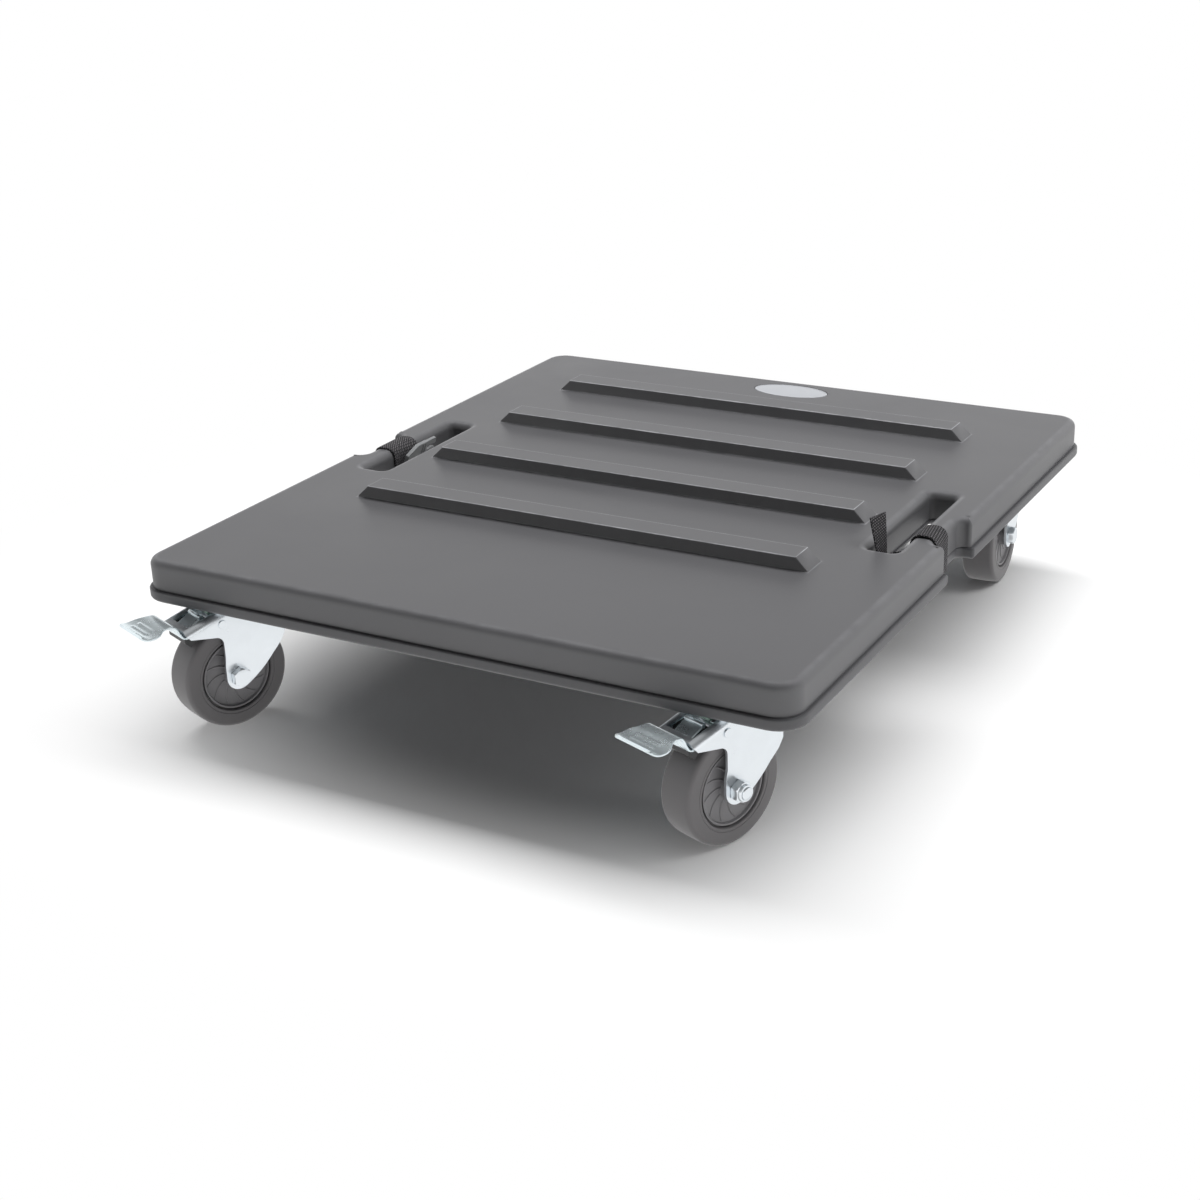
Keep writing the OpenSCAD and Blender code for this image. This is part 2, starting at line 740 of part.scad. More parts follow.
module right_strap() {
    foot_h = 20;
    foot_z = deck_bottom_z + base_recess + foot_h / 2;
    tail_x = slot_inner_x + slot_w / 3;
    tail_y = slot_front_y + slot_flange + strap_gap + tail_w / 2;
    bend_z = load_face_z - edge_r;
    end_z = load_face_z + tail_rise;
    color([0.15, 0.15, 0.15]) on_deck() {
        strap_loop(1, right_strap_w, right_strap_y, right_strap_lift);
        webbing_bar([tail_x, tail_y, foot_z], tail_w, foot_h, 0);
        hull() {
            webbing_bar([tail_x, tail_y + tail_w / 2 - through, foot_z], 2 * through, foot_h, 0);
            webbing_bar([strap_face_x + webbing_t / 2, right_strap_y - right_strap_w / 2 + through, foot_z],
                2 * through, foot_h, 0);
        }
        hull() {
            webbing_bar([tail_x, tail_y, foot_z], tail_w, foot_h, 0);
            webbing_bar([tail_x, tail_y, bend_z], tail_w, 1, 0);
        }
        hull() {
            webbing_bar([tail_x, tail_y, bend_z], tail_w, 1, 0);
            webbing_bar([tail_x - tail_lean, tail_y, end_z - 0.5], tail_w, 1, -tail_twist);
        }
    }
}

// Casters

// Puts a caster, built about its kingpin, under a corner of the deck: column and row are -1 or 1
module caster_place(column, row, angle) {
    translate([column * row_kingpin_x(row), deck_centre_y + row * kingpin_y, 0]) rotate(angle) children();
}

module front_left() {
    caster_place(-1, -1, front_left_angle) children();
}

module front_right() {
    caster_place(1, -1, front_right_angle) children();
}

module rear_left() {
    caster_place(-1, 1, rear_left_angle) children();
}

module rear_right() {
    caster_place(1, 1, rear_right_angle) children();
}

// The mounting plates stay square to the deck
module squared(angle) {
    rotate(-angle) children();
}

module top_plate(angle) {
    ring_inner_r = upper_race_r + upper_ball_d / 2 + ring_gap;
    squared(angle) difference() {
        union() {
            translate([0, 0, plate_under_z])
                linear_extrude(plate_t) round_rect(plate_w, plate_l, plate_corner_r);
            translate([0, 0, plate_under_z - dust_ring_h])
                cylinder(h = dust_ring_h + plate_t / 2, r = ring_inner_r + ring_t);
        }
        translate([0, 0, plate_under_z - dust_ring_h - through])
            cylinder(h = dust_ring_h + through, r = ring_inner_r);
        translate([0, 0, plate_under_z - through]) cylinder(h = plate_t + 2 * through, d = kingpin_d);
        at_bolts()
            translate([0, 0, plate_under_z - through])
                cylinder(h = plate_t + 2 * through, d = plate_bolt_d + bolt_clearance);
    }
}

module kingpin() {
    translate([0, 0, lower_race_under_z]) cylinder(h = mount_z - lower_race_under_z, d = kingpin_d);
    translate([0, 0, lower_race_under_z - kingpin_foot_h]) cylinder(h = kingpin_foot_h, r = kingpin_foot_r);
}

module lower_race() {
    rim_inner_r = lower_race_r + lower_ball_d / 2 + ring_gap;
    difference() {
        translate([0, 0, lower_race_under_z])
            cylinder(h = lower_race_t + lower_rim_h, r = rim_inner_r + ring_t);
        translate([0, 0, lower_race_top_z]) cylinder(h = lower_rim_h + through, r = rim_inner_r);
        translate([0, 0, lower_race_under_z - through])
            cylinder(h = lower_race_t + 2 * through, d = kingpin_d);
    }
}

// Both rings of balls rest against the fork and run just clear of the fixed races
module balls() {
    for (k = [0:upper_balls - 1])
        rotate(k * 360 / upper_balls)
            translate([upper_race_r, 0, fork_top_z + upper_ball_d / 2 - running_gap])
                sphere(d = upper_ball_d - 2 * running_gap);
    for (k = [0:lower_balls - 1])
        rotate(k * 360 / lower_balls)
            translate([lower_race_r, 0, fork_under_z - lower_ball_d / 2 + running_gap])
                sphere(d = lower_ball_d - 2 * running_gap);
}

// Extrudes a side view across the caster: its x is the distance in front of the axle, its y the height
module across(w) {
    translate([0, -trail, 0]) rotate([90, 0, -90]) linear_extrude(w, center = true) children();
}

// Extrudes a plan view upwards: its x runs across the caster, its y is the distance in front of the axle
module plan(h) {
    translate([0, -trail, 0]) mirror([0, 1, 0]) linear_extrude(h) children();
}

// Side view of a leg with its round foot, bulging back edge and straight front edge
module leg_outline() {
    bulge_offset = leg_bulge_r - leg_foot_r;
    foot_reach = 3 * leg_foot_r;
    translate([0, wheel_r]) circle(leg_foot_r);
    intersection() {
        translate([bulge_offset * sin(leg_bulge_lean), wheel_r + bulge_offset * cos(leg_bulge_lean)])
            circle(leg_bulge_r);
        polygon([
            [0, wheel_r],
            [leg_foot_r, wheel_r],
            [leg_foot_r, fork_top_z],
            [-fork_back, fork_top_z],
            [-fork_back, wheel_r - foot_reach * cos(leg_bulge_lean)],
            [-foot_reach * sin(leg_bulge_lean), wheel_r - foot_reach * cos(leg_bulge_lean)]
        ]);
    }
}

// Side view of the arm that carries the brake hood, with the fillet under it
module arm_outline() {
    arm_z = wheel_r + arm_rise;
    tangent = arm_fillet_r / tan((90 + arm_slope) / 2);
    nose_s = hood_reach - nose_run;
    difference() {
        polygon([
            [hood_start - through, leg_split_z],
            [leg_foot_r, leg_split_z],
            [leg_foot_r, arm_z - tangent],
            [leg_foot_r + tangent * cos(arm_slope), arm_z + tangent * sin(arm_slope)],
            [nose_s, arm_z + (nose_s - leg_foot_r) * tan(arm_slope)],
            [hood_reach, hood_front_z - fork_t],
            [hood_reach, hood_front_z],
            [hood_start, fork_top_z],
            [hood_start - through, fork_top_z]
        ]);
        translate([leg_foot_r + arm_fillet_r, arm_z - tangent]) circle(arm_fillet_r);
    }
}

// Part of the side view that belongs to the sloping hood
module hood_region() {
    mitre_run = (fork_top_z - leg_split_z) * tan(hood_slope / 2);
    polygon([
        [hood_start, fork_top_z],
        [hood_start - mitre_run, leg_split_z],
        [hood_reach + through, leg_split_z],
        [hood_reach + through, fork_top_z]
    ]);
}

// Front view of an upside-down U of sheet with rounded bends
module channel_section(top_z, low_z) {
    difference() {
        channel_face(fork_half_w, top_z, low_z, fork_bend_r);
        channel_face(fork_half_w - fork_t, top_z - fork_t, low_z - through, fork_bend_r - fork_t);
    }
}

module channel_face(half_w, top_z, low_z, bend_r) {
    polygon(concat(
        [[-half_w, low_z], [half_w, low_z]],
        quarter([half_w - bend_r, top_z - bend_r], bend_r, 0),
        quarter([bend_r - half_w, top_z - bend_r], bend_r, 90)
    ));
}

// Front view of the joggled legs under the channel
module leg_section() {
    foot_z = wheel_r - 2 * leg_foot_r;
    leg_points = [
        [leg_inner, foot_z],
        [leg_outer, foot_z],
        [leg_outer, joggle_low_z],
        [fork_half_w, joggle_top_z],
        [fork_half_w, joggle_top_z + through],
        [fork_half_w - fork_t, joggle_top_z + through],
        [fork_half_w - fork_t, joggle_top_z],
        [leg_inner, joggle_low_z]
    ];
    polygon(leg_points);
    polygon([for (p = reversed(leg_points)) [-p[0], p[1]]]);
}

// The flat head of the fork with both legs
module fork_channel() {
    length = fork_back + leg_foot_r + through;
    translate([0, fork_back - trail, 0])
        rotate([90, 0, 0])
            linear_extrude(length) {
                channel_section(fork_top_z, joggle_top_z);
                leg_section();
            }
}

// The sloping channel of the brake hood
module hood_channel() {
    length = (hood_reach - hood_start) / cos(hood_slope) + through;
    translate([0, -trail - hood_start, fork_top_z])
        rotate([90 + hood_slope, 0, 0])
            translate([0, 0, -through])
                linear_extrude(length + through) channel_section(0, leg_split_z - fork_top_z - through);
}

module fork(braked) {
    side = 3 * fork_half_w;
    back_cut = 4;
    difference() {
        intersection() {
            union() {
                intersection() {
                    across(side) difference() {
                        union() {
                            leg_outline();
                            if (braked) arm_outline();
                        }
                        if (braked) hood_region();
                    }
                    fork_channel();
                }
                if (braked)
                    intersection() {
                        across(side) intersection() {
                            union() {
                                leg_outline();
                                arm_outline();
                            }
                            hood_region();
                        }
                        hood_channel();
                    }
            }
            plan(fork_top_z + through)
                polygon([
                    [fork_half_w - back_cut, -fork_back],
                    [fork_half_w + through, back_cut + through - fork_back],
                    [fork_half_w + through, hood_reach + through],
                    [-fork_half_w - through, hood_reach + through],
                    [-fork_half_w - through, back_cut + through - fork_back],
                    [back_cut - fork_half_w, -fork_back]
                ]);
        }
        translate([0, 0, fork_under_z - through])
            cylinder(h = fork_t + 2 * through, d = kingpin_d + 2 * running_gap);
        across(side) translate([0, wheel_r]) circle(d = axle_d + bolt_clearance);
        if (braked) {
            across(side) translate([brake_pin_reach, brake_pin_z]) circle(d = brake_pin_d);
            across(window_w)
                translate([window_front - window_l, leg_split_z])
                    square([window_l, fork_top_z - leg_split_z + through]);
        }
    }
}

// Axle and wheel

// Puts what is built along z, from the middle of the axle, along the axle towards one side
module along_axle(side) {
    translate([0, -trail, wheel_r]) rotate([0, side * 90, 0]) children();
}

module axle_bolt(nut_side) {
    shank_l = 2 * leg_outer + axle_nut_h + thread_end;
    along_axle(-nut_side) {
        translate([0, 0, leg_outer]) linear_extrude(axle_head_h) hexagon(axle_flats);
        translate([0, 0, leg_outer - shank_l]) cylinder(h = shank_l, d = shank_d);
    }
}

module axle_nut(nut_side) {
    collar_h = 0.28 * axle_nut_h;
    along_axle(nut_side) difference() {
        union() {
            translate([0, 0, leg_outer]) linear_extrude(axle_nut_h - collar_h) hexagon(axle_flats);
            translate([0, 0, leg_outer]) cylinder(h = axle_nut_h, d = 0.92 * axle_flats);
        }
        translate([0, 0, leg_outer - through]) cylinder(h = axle_nut_h + 2 * through, d = shank_d);
    }
}

module axle_sleeve() {
    along_axle(1) difference() {
        cylinder(h = 2 * leg_inner, d = sleeve_d, center = true);
        cylinder(h = 2 * leg_inner + through, d = sleeve_bore, center = true);
    }
}

module wheel_centre() {
    bore_r = sleeve_d / 2 + running_gap;
    hub_half = leg_inner - hub_play;
    rim_r = tyre_seat_r - ring_groove / 2;
    along_axle(1) {
        rotate_extrude()
            polygon([
                [bore_r, -hub_half], [hub_d / 2, -hub_half], [hub_d / 2, -web_w / 2],
                [rim_r - rim_depth, -web_w / 2], [rim_r - rim_depth, -rim_w / 2], [rim_r, -rim_w / 2],
                [rim_r, -web_w / 2], [tyre_seat_r, -web_w / 2], [tyre_seat_r, web_w / 2],
                [rim_r, web_w / 2], [rim_r, rim_w / 2], [rim_r - rim_depth, rim_w / 2],
                [rim_r - rim_depth, web_w / 2], [hub_d / 2, web_w / 2], [hub_d / 2, hub_half],
                [bore_r, hub_half]
            ]);
        for (k = [0:vane_count - 1])
            rotate(k * 360 / vane_count)
                translate([hub_d / 2 - through / 2, -vane_t / 2, -web_w / 2 - vane_rise])
                    cube([rim_r - rim_depth / 2 - hub_d / 2, vane_t, web_w + 2 * vane_rise]);
    }
}

module tyre() {
    groove_r = tyre_seat_r + ring_groove / 2;
    along_axle(1) rotate_extrude() {
        translate([tyre_seat_r, -web_w / 2]) square([wheel_r - tyre_seat_r - through, web_w]);
        translate([groove_r, -tyre_w / 2]) square([wheel_r - tyre_shoulder_r - groove_r, tyre_w]);
        translate([groove_r, tyre_shoulder_r - tyre_w / 2])
            square([wheel_r - groove_r, tyre_w - 2 * tyre_shoulder_r]);
        for (side = [-1, 1])
            translate([wheel_r - tyre_shoulder_r, side * (tyre_w / 2 - tyre_shoulder_r)])
                circle(tyre_shoulder_r);
    }
}

// Brake

module brake_pin() {
    across(2 * fork_half_w) translate([brake_pin_reach, brake_pin_z]) circle(d = brake_pin_d);
    for (side = [-1, 1])
        translate([side * (fork_half_w + rivet_head_h / 2), 0, 0])
            across(rivet_head_h) translate([brake_pin_reach, brake_pin_z]) circle(0.8 * brake_pin_d);
}

module pedal_section() {
    sheet_section(smooth_line(pedal_line, 3), pedal_t);
}

// Plan of the pedal: tongue, neck and flared tip with round corners
module pedal_plan() {
    tip_end = pedal_line[len(pedal_line) - 1][0];
    corner_s = tip_end - pedal_tip_r;
    translate([-tongue_half_w, 0]) square([2 * tongue_half_w, pedal_neck_start + through]);
    polygon([
        [-pedal_neck_half_w, pedal_neck_start], [pedal_neck_half_w, pedal_neck_start],
        [pedal_neck_half_w, pedal_flare_start], [pedal_tip_half_w, pedal_flare_end],
        [pedal_tip_half_w, corner_s], [-pedal_tip_half_w, corner_s],
        [-pedal_tip_half_w, pedal_flare_end], [-pedal_neck_half_w, pedal_flare_start]
    ]);
    translate([pedal_tip_r - pedal_tip_half_w, corner_s - through])
        square([2 * (pedal_tip_half_w - pedal_tip_r), pedal_tip_r + 2 * through]);
    for (side = [-1, 1]) translate([side * (pedal_tip_half_w - pedal_tip_r), corner_s]) circle(pedal_tip_r);
}

// Side view of the ears that hang the pedal on its pin
module ear_outline() {
    front = pedal_line[3];
    translate([brake_pin_reach, brake_pin_z]) circle(pedal_ear_r);
    polygon([
        [brake_pin_reach, brake_pin_z + pedal_ear_r],
        [brake_pin_reach, brake_pin_z - pedal_ear_r],
        [front[0] - 1, front[1] - pedal_t / 2],
        [front[0] - 1, front[1] + pedal_t / 2],
        [window_front - 4, pedal_line[2][1] + pedal_t]
    ]);
}

module brake_pedal() {
    bead_z = pedal_line[10][1] + pedal_t / 2 - bead_r / 2;
    difference() {
        union() {
            intersection() {
                across(3 * pedal_tip_half_w) pedal_section();
                plan(2 * load_face_z) pedal_plan();
            }
            across(2 * tongue_half_w) translate(pedal_line[0] + [0, pedal_roll_r / 4]) circle(pedal_roll_r);
            for (side = [-1, 1])
                translate([side * (pedal_neck_half_w - pedal_t / 2), 0, 0])
                    across(pedal_t) ear_outline();
            across(bead_l) {
                translate([pedal_flare_end + bead_pitch / 2, bead_z]) circle(bead_r);
                translate([pedal_flare_end + 1.5 * bead_pitch, bead_z + bead_step]) circle(bead_r);
            }
        }
        across(3 * pedal_neck_half_w)
            translate([brake_pin_reach, brake_pin_z]) circle(d = brake_pin_d + 2 * running_gap);
    }
}

// The shoe fills the space under the pedal and keeps its round face clear of the tread
module brake_shoe() {
    face_r = wheel_r + shoe_gap;
    heel_s = pedal_line[1][0] - 5;
    heel_top_z = pedal_line[1][1] + 2;
    chin_s = window_front - 1.5;
    chin_z = wheel_r + sqrt(face_r ^ 2 - chin_s ^ 2);
    chin_rise = 5;
    toe_s = pedal_line[3][0] - 1;
    across(2 * shoe_half_w) difference() {
        polygon([
            [heel_s, wheel_r + sqrt(face_r ^ 2 - heel_s ^ 2) - through],
            [chin_s, chin_z - through / 4],
            [toe_s, chin_z + chin_rise],
            [toe_s, pedal_line[3][1]],
            pedal_line[2],
            pedal_line[1],
            [heel_s, heel_top_z]
        ]);
        pedal_section();
        translate([0, wheel_r]) circle(face_r);
    }
}

module brake_spring() {
    across(2 * spring_half_w) {
        sheet_section(spring_line, spring_t);
        translate(spring_line[3]) circle(spring_roll_r);
    }
}

// Front left caster
module front_left_top_plate() { color("gainsboro") front_left() top_plate(front_left_angle); }
module front_left_kingpin() { color("gainsboro") front_left() kingpin(); }
module front_left_lower_race() { color("gainsboro") front_left() lower_race(); }
module front_left_balls() { color("gainsboro") front_left() balls(); }
module front_left_fork() { color("gainsboro") front_left() fork(braked = true); }
module front_left_axle_bolt() { color("gainsboro") front_left() axle_bolt(nut_side = -1); }
module front_left_axle_nut() { color("gainsboro") front_left() axle_nut(nut_side = -1); }
module front_left_axle_sleeve() { color("gainsboro") front_left() axle_sleeve(); }
module front_left_wheel_centre() { color("dimgray") front_left() wheel_centre(); }
module front_left_tyre() { color([0.28, 0.27, 0.28]) front_left() tyre(); }
module front_left_brake_pin() { color("gainsboro") front_left() brake_pin(); }
module front_left_brake_pedal() { color("gainsboro") front_left() brake_pedal(); }
module front_left_brake_shoe() { color([0.08, 0.08, 0.08]) front_left() brake_shoe(); }
module front_left_brake_spring() { color("gainsboro") front_left() brake_spring(); }

// Front right caster
module front_right_top_plate() { color("gainsboro") front_right() top_plate(front_right_angle); }
module front_right_kingpin() { color("gainsboro") front_right() kingpin(); }
module front_right_lower_race() { color("gainsboro") front_right() lower_race(); }
module front_right_balls() { color("gainsboro") front_right() balls(); }
module front_right_fork() { color("gainsboro") front_right() fork(braked = true); }
module front_right_axle_bolt() { color("gainsboro") front_right() axle_bolt(nut_side = 1); }
module front_right_axle_nut() { color("gainsboro") front_right() axle_nut(nut_side = 1); }
module front_right_axle_sleeve() { color("gainsboro") front_right() axle_sleeve(); }
module front_right_wheel_centre() { color("dimgray") front_right() wheel_centre(); }
module front_right_tyre() { color([0.28, 0.27, 0.28]) front_right() tyre(); }
module front_right_brake_pin() { color("gainsboro") front_right() brake_pin(); }
module front_right_brake_pedal() { color("gainsboro") front_right() brake_pedal(); }
module front_right_brake_shoe() { color([0.08, 0.08, 0.08]) front_right() brake_shoe(); }
module front_right_brake_spring() { color("gainsboro") front_right() brake_spring(); }

// Rear left caster
module rear_left_top_plate() { color("gainsboro") rear_left() top_plate(rear_left_angle); }
module rear_left_kingpin() { color("gainsboro") rear_left() kingpin(); }
module rear_left_lower_race() { color("gainsboro") rear_left() lower_race(); }
module rear_left_balls() { color("gainsboro") rear_left() balls(); }
module rear_left_fork() { color("gainsboro") rear_left() fork(braked = false); }
module rear_left_axle_bolt() { color("gainsboro") rear_left() axle_bolt(nut_side = -1); }
module rear_left_axle_nut() { color("gainsboro") rear_left() axle_nut(nut_side = -1); }
module rear_left_axle_sleeve() { color("gainsboro") rear_left() axle_sleeve(); }
module rear_left_wheel_centre() { color("dimgray") rear_left() wheel_centre(); }
module rear_left_tyre() { color([0.28, 0.27, 0.28]) rear_left() tyre(); }

// Rear right caster
module rear_right_top_plate() { color("gainsboro") rear_right() top_plate(rear_right_angle); }
module rear_right_kingpin() { color("gainsboro") rear_right() kingpin(); }
module rear_right_lower_race() { color("gainsboro") rear_right() lower_race(); }
module rear_right_balls() { color("gainsboro") rear_right() balls(); }
module rear_right_fork() { color("gainsboro") rear_right() fork(braked = false); }
module rear_right_axle_bolt() { color("gainsboro") rear_right() axle_bolt(nut_side = -1); }
module rear_right_axle_nut() { color("gainsboro") rear_right() axle_nut(nut_side = -1); }
module rear_right_axle_sleeve() { color("gainsboro") rear_right() axle_sleeve(); }
module rear_right_wheel_centre() { color("dimgray") rear_right() wheel_centre(); }
module rear_right_tyre() { color([0.28, 0.27, 0.28]) rear_right() tyre(); }

deck_top();
deck_base();
badge();
plate_bolts();
plate_nuts();
left_strap();
left_buckle();
right_strap();
front_left_top_plate();
front_left_kingpin();
front_left_lower_race();
front_left_balls();
front_left_fork();
front_left_axle_bolt();
front_left_axle_nut();
front_left_axle_sleeve();
front_left_wheel_centre();
front_left_tyre();
front_left_brake_pin();
front_left_brake_pedal();
front_left_brake_shoe();
front_left_brake_spring();
front_right_top_plate();
front_right_kingpin();
front_right_lower_race();
front_right_balls();
front_right_fork();
front_right_axle_bolt();
front_right_axle_nut();
front_right_axle_sleeve();
front_right_wheel_centre();
front_right_tyre();
front_right_brake_pin();
front_right_brake_pedal();
front_right_brake_shoe();
front_right_brake_spring();
rear_left_top_plate();
rear_left_kingpin();
rear_left_lower_race();
rear_left_balls();
rear_left_fork();
rear_left_axle_bolt();
rear_left_axle_nut();
rear_left_axle_sleeve();
rear_left_wheel_centre();
rear_left_tyre();
rear_right_top_plate();
rear_right_kingpin();
rear_right_lower_race();
rear_right_balls();
rear_right_fork();
rear_right_axle_bolt();
rear_right_axle_nut();
rear_right_axle_sleeve();
rear_right_wheel_centre();
rear_right_tyre();
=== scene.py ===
"""Looks of a caster platform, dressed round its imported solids.

The deck is two plastic mouldings with ribs, strap slots and side notches. It stands on four swivel
casters of pressed steel with rubber tyres. Lengths are in metres unless a name ends in _mm or a
comment says millimetres.
"""

import json
import math

import bmesh
import bpy
import numpy as np
from mathutils import Matrix, Vector


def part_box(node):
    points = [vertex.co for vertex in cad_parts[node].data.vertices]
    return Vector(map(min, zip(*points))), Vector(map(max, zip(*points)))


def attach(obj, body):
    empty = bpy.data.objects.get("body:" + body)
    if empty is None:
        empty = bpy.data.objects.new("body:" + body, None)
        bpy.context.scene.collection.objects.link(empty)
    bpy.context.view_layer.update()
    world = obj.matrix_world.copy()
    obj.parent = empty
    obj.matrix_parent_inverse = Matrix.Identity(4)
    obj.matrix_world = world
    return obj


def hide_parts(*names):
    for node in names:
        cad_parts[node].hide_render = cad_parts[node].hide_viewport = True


bl_info = {
    "name": "Caster platform",
    "version": (1, 0, 0),
    "blender": (4, 5, 0),
    "location": "View3D > Sidebar > Caster platform",
    "description": "Builds the visible pieces of a wheeled plastic platform round its solids",
    "category": "Object",
}

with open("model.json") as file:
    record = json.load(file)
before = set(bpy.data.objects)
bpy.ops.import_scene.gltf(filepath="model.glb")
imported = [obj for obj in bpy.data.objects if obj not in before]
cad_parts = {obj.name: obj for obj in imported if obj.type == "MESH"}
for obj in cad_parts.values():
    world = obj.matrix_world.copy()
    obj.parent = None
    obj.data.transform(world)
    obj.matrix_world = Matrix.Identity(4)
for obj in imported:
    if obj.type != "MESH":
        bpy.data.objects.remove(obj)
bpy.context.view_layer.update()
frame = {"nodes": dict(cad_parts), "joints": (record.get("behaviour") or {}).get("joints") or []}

MM = 0.001
CASTERS = ("front_left", "front_right", "rear_left", "rear_right")
BRAKED = ("front_left", "front_right")
JOINTS = {joint["name"]: joint for joint in frame["joints"]}

# Faces of the deck, from the frame
SKIN_LOW, SKIN_HIGH = (np.array(corner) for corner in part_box("deck_top"))
BASE_LOW, BASE_HIGH = (np.array(corner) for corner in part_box("deck_base"))
BADGE_LOW, BADGE_HIGH = (np.array(corner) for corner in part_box("badge"))
STRAP_HIGH = np.array(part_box("right_strap")[1])
LOAD_Z = BADGE_HIGH[2]
DECK_Y = (SKIN_LOW[1] + SKIN_HIGH[1]) / 2
HALF_W = SKIN_HIGH[0]
HALF_L = (SKIN_HIGH[1] - SKIN_LOW[1]) / 2
SEAM_Z = SKIN_LOW[2]

# Slots and notches, measured from the middle of the deck
SLOT_X = (255.5 * MM, 281.5 * MM)
SLOT_Y = (-73.0 * MM, 82.0 * MM)
SLOT_R = 5 * MM
NOTCH_X = 303.0 * MM
NOTCH_Y = (-41.0 * MM, 26.5 * MM)
NOTCH_R = 8 * MM
MOUTH_R = 3 * MM

# Flange of the lower moulding in the slots: its thickness, its low edge and its step back below that
FLANGE = 1.5 * MM
RIM_Z = 129 * MM
RELIEF = 3 * MM

# Ribs
RIB_L = 465.6 * MM
RIB_W = 27.7 * MM
RIB_FIRST_Y = -134.1 * MM
RIB_PITCH = 125.65 * MM
RIB_COUNT = 4
RIB_END_RUN = 11.7 * MM
RIB_SIDE_RUN = 1.0 * MM
RIB_CORNER_R = 1.0 * MM

# Flat strip beside each rounded edge, gap round the badge, depth of the underside's recess
FLAT_MARGIN = 1.2 * MM
BADGE_GAP = 0.5 * MM
UNDERSIDE_DEPTH = 5 * MM

ARC_STEPS = 8

# Painted highlight along the rings of a rib, from its foot to its top, and of a rounded edge: lighter colour
# that stands in for the shine on these edges
RIB_HIGHLIGHT = np.array([0, 0.1, 0.25, 0.4, 0.4, 0.2, 0.05, 0.05, 0.5, 0.9, 1, 0.6, 0.15, 0])
EDGE_HIGHLIGHT = np.array([0, 0, 0, 0, 0, 0.03, 0.08, 0.13, 0.13, 0.06, 0])
HIGHLIGHT_GAIN = 6


# Geometry


def arc(start, end, steps=ARC_STEPS):
    """Angles in radians from start to end degrees."""
    return np.radians(np.linspace(start, end, steps))


def outline(corners, inset):
    """Closed plan line of a polygon with square corners, moved into the material by the inset.

    The corners are (x, y, radius) and run anticlockwise round the material, or clockwise round a hole.
    A corner is a quarter circle: an outward one tightens by the inset and an inward one widens by it.
    """
    points = np.array([corner[:2] for corner in corners])
    radius = np.array([corner[2] for corner in corners])
    after = np.roll(points, -1, 0) - points
    after /= np.linalg.norm(after, axis=1)[:, None]
    before = np.roll(after, 1, 0)
    turn = np.sign(before[:, 0] * after[:, 1] - before[:, 1] * after[:, 0])
    in_before = np.stack([-before[:, 1], before[:, 0]], 1)
    in_after = np.stack([-after[:, 1], after[:, 0]], 1)
    reach = (turn * np.maximum(radius - turn * inset, 0.2 * MM))[:, None]
    centre = points + (inset + reach) * (in_before + in_after)
    angle = arc(0, 90)[None, :, None]
    sweep = in_before[:, None] * np.cos(angle) + in_after[:, None] * np.sin(angle)
    return (centre[:, None] - reach[:, None] * sweep).reshape(-1, 2)


def smooth_line(points, steps):
    """Open curve through the points: each span is a cubic that takes its slope from the neighbours."""
    points = np.asarray(points, float)
    padded = np.vstack([points[0], points, points[-1]])
    p, q, r, s = (padded[k : len(padded) - 3 + k, None] for k in range(4))
    t = np.linspace(0, 1, steps, endpoint=False)[None, :, None]
    cubic = 2 * q + (r - p) * t + (2 * p - 5 * q + 4 * r - s) * t**2 + (3 * q - p - 3 * r + s) * t**3
    return np.vstack([(cubic / 2).reshape(-1, points.shape[1]), points[-1:]])


def normals_of(line, closed=False):
    """Unit normals to the left of a plane line, from the step between each point's neighbours."""
    if closed:
        step = np.roll(line, -1, 0) - np.roll(line, 1, 0)
    else:
        step = np.gradient(line, axis=0)
    step = step / np.linalg.norm(step, axis=1)[:, None]
    return np.stack([-step[:, 1], step[:, 0]], 1)


def walls(corners, profile):
    """Rings of an outline carried along a profile of (inset, height) pairs."""
    rings = [np.c_[outline(corners, inset), np.full(len(corners) * ARC_STEPS, z)] for inset, z in profile]
    return np.stack(rings) + np.array([0, DECK_Y, 0])


def round_top(low_z, top_z, radius):
    """Profile up a wall, round a quarter circle at its top and a little way onto the flat."""
    turn = arc(0, 90)
    bend = np.c_[radius - radius * np.cos(turn), top_z - radius + radius * np.sin(turn)]
    foot = [[0, low_z], [0, top_z - radius - FLAT_MARGIN]]
    return np.vstack([foot, bend, [[radius + FLAT_MARGIN, top_z]]])


def turned(profile, steps):
    """Rings of a profile of (radius, distance along the axis) pairs turned about the local x axis."""
    profile = np.asarray(profile, float)
    angle = np.linspace(0, 2 * math.pi, steps, endpoint=False)[None, :]
    radius = profile[:, :1]
    along = np.broadcast_to(profile[:, 1:], (len(profile), steps))
    return np.stack([along, radius * np.cos(angle), radius * np.sin(angle)], -1)


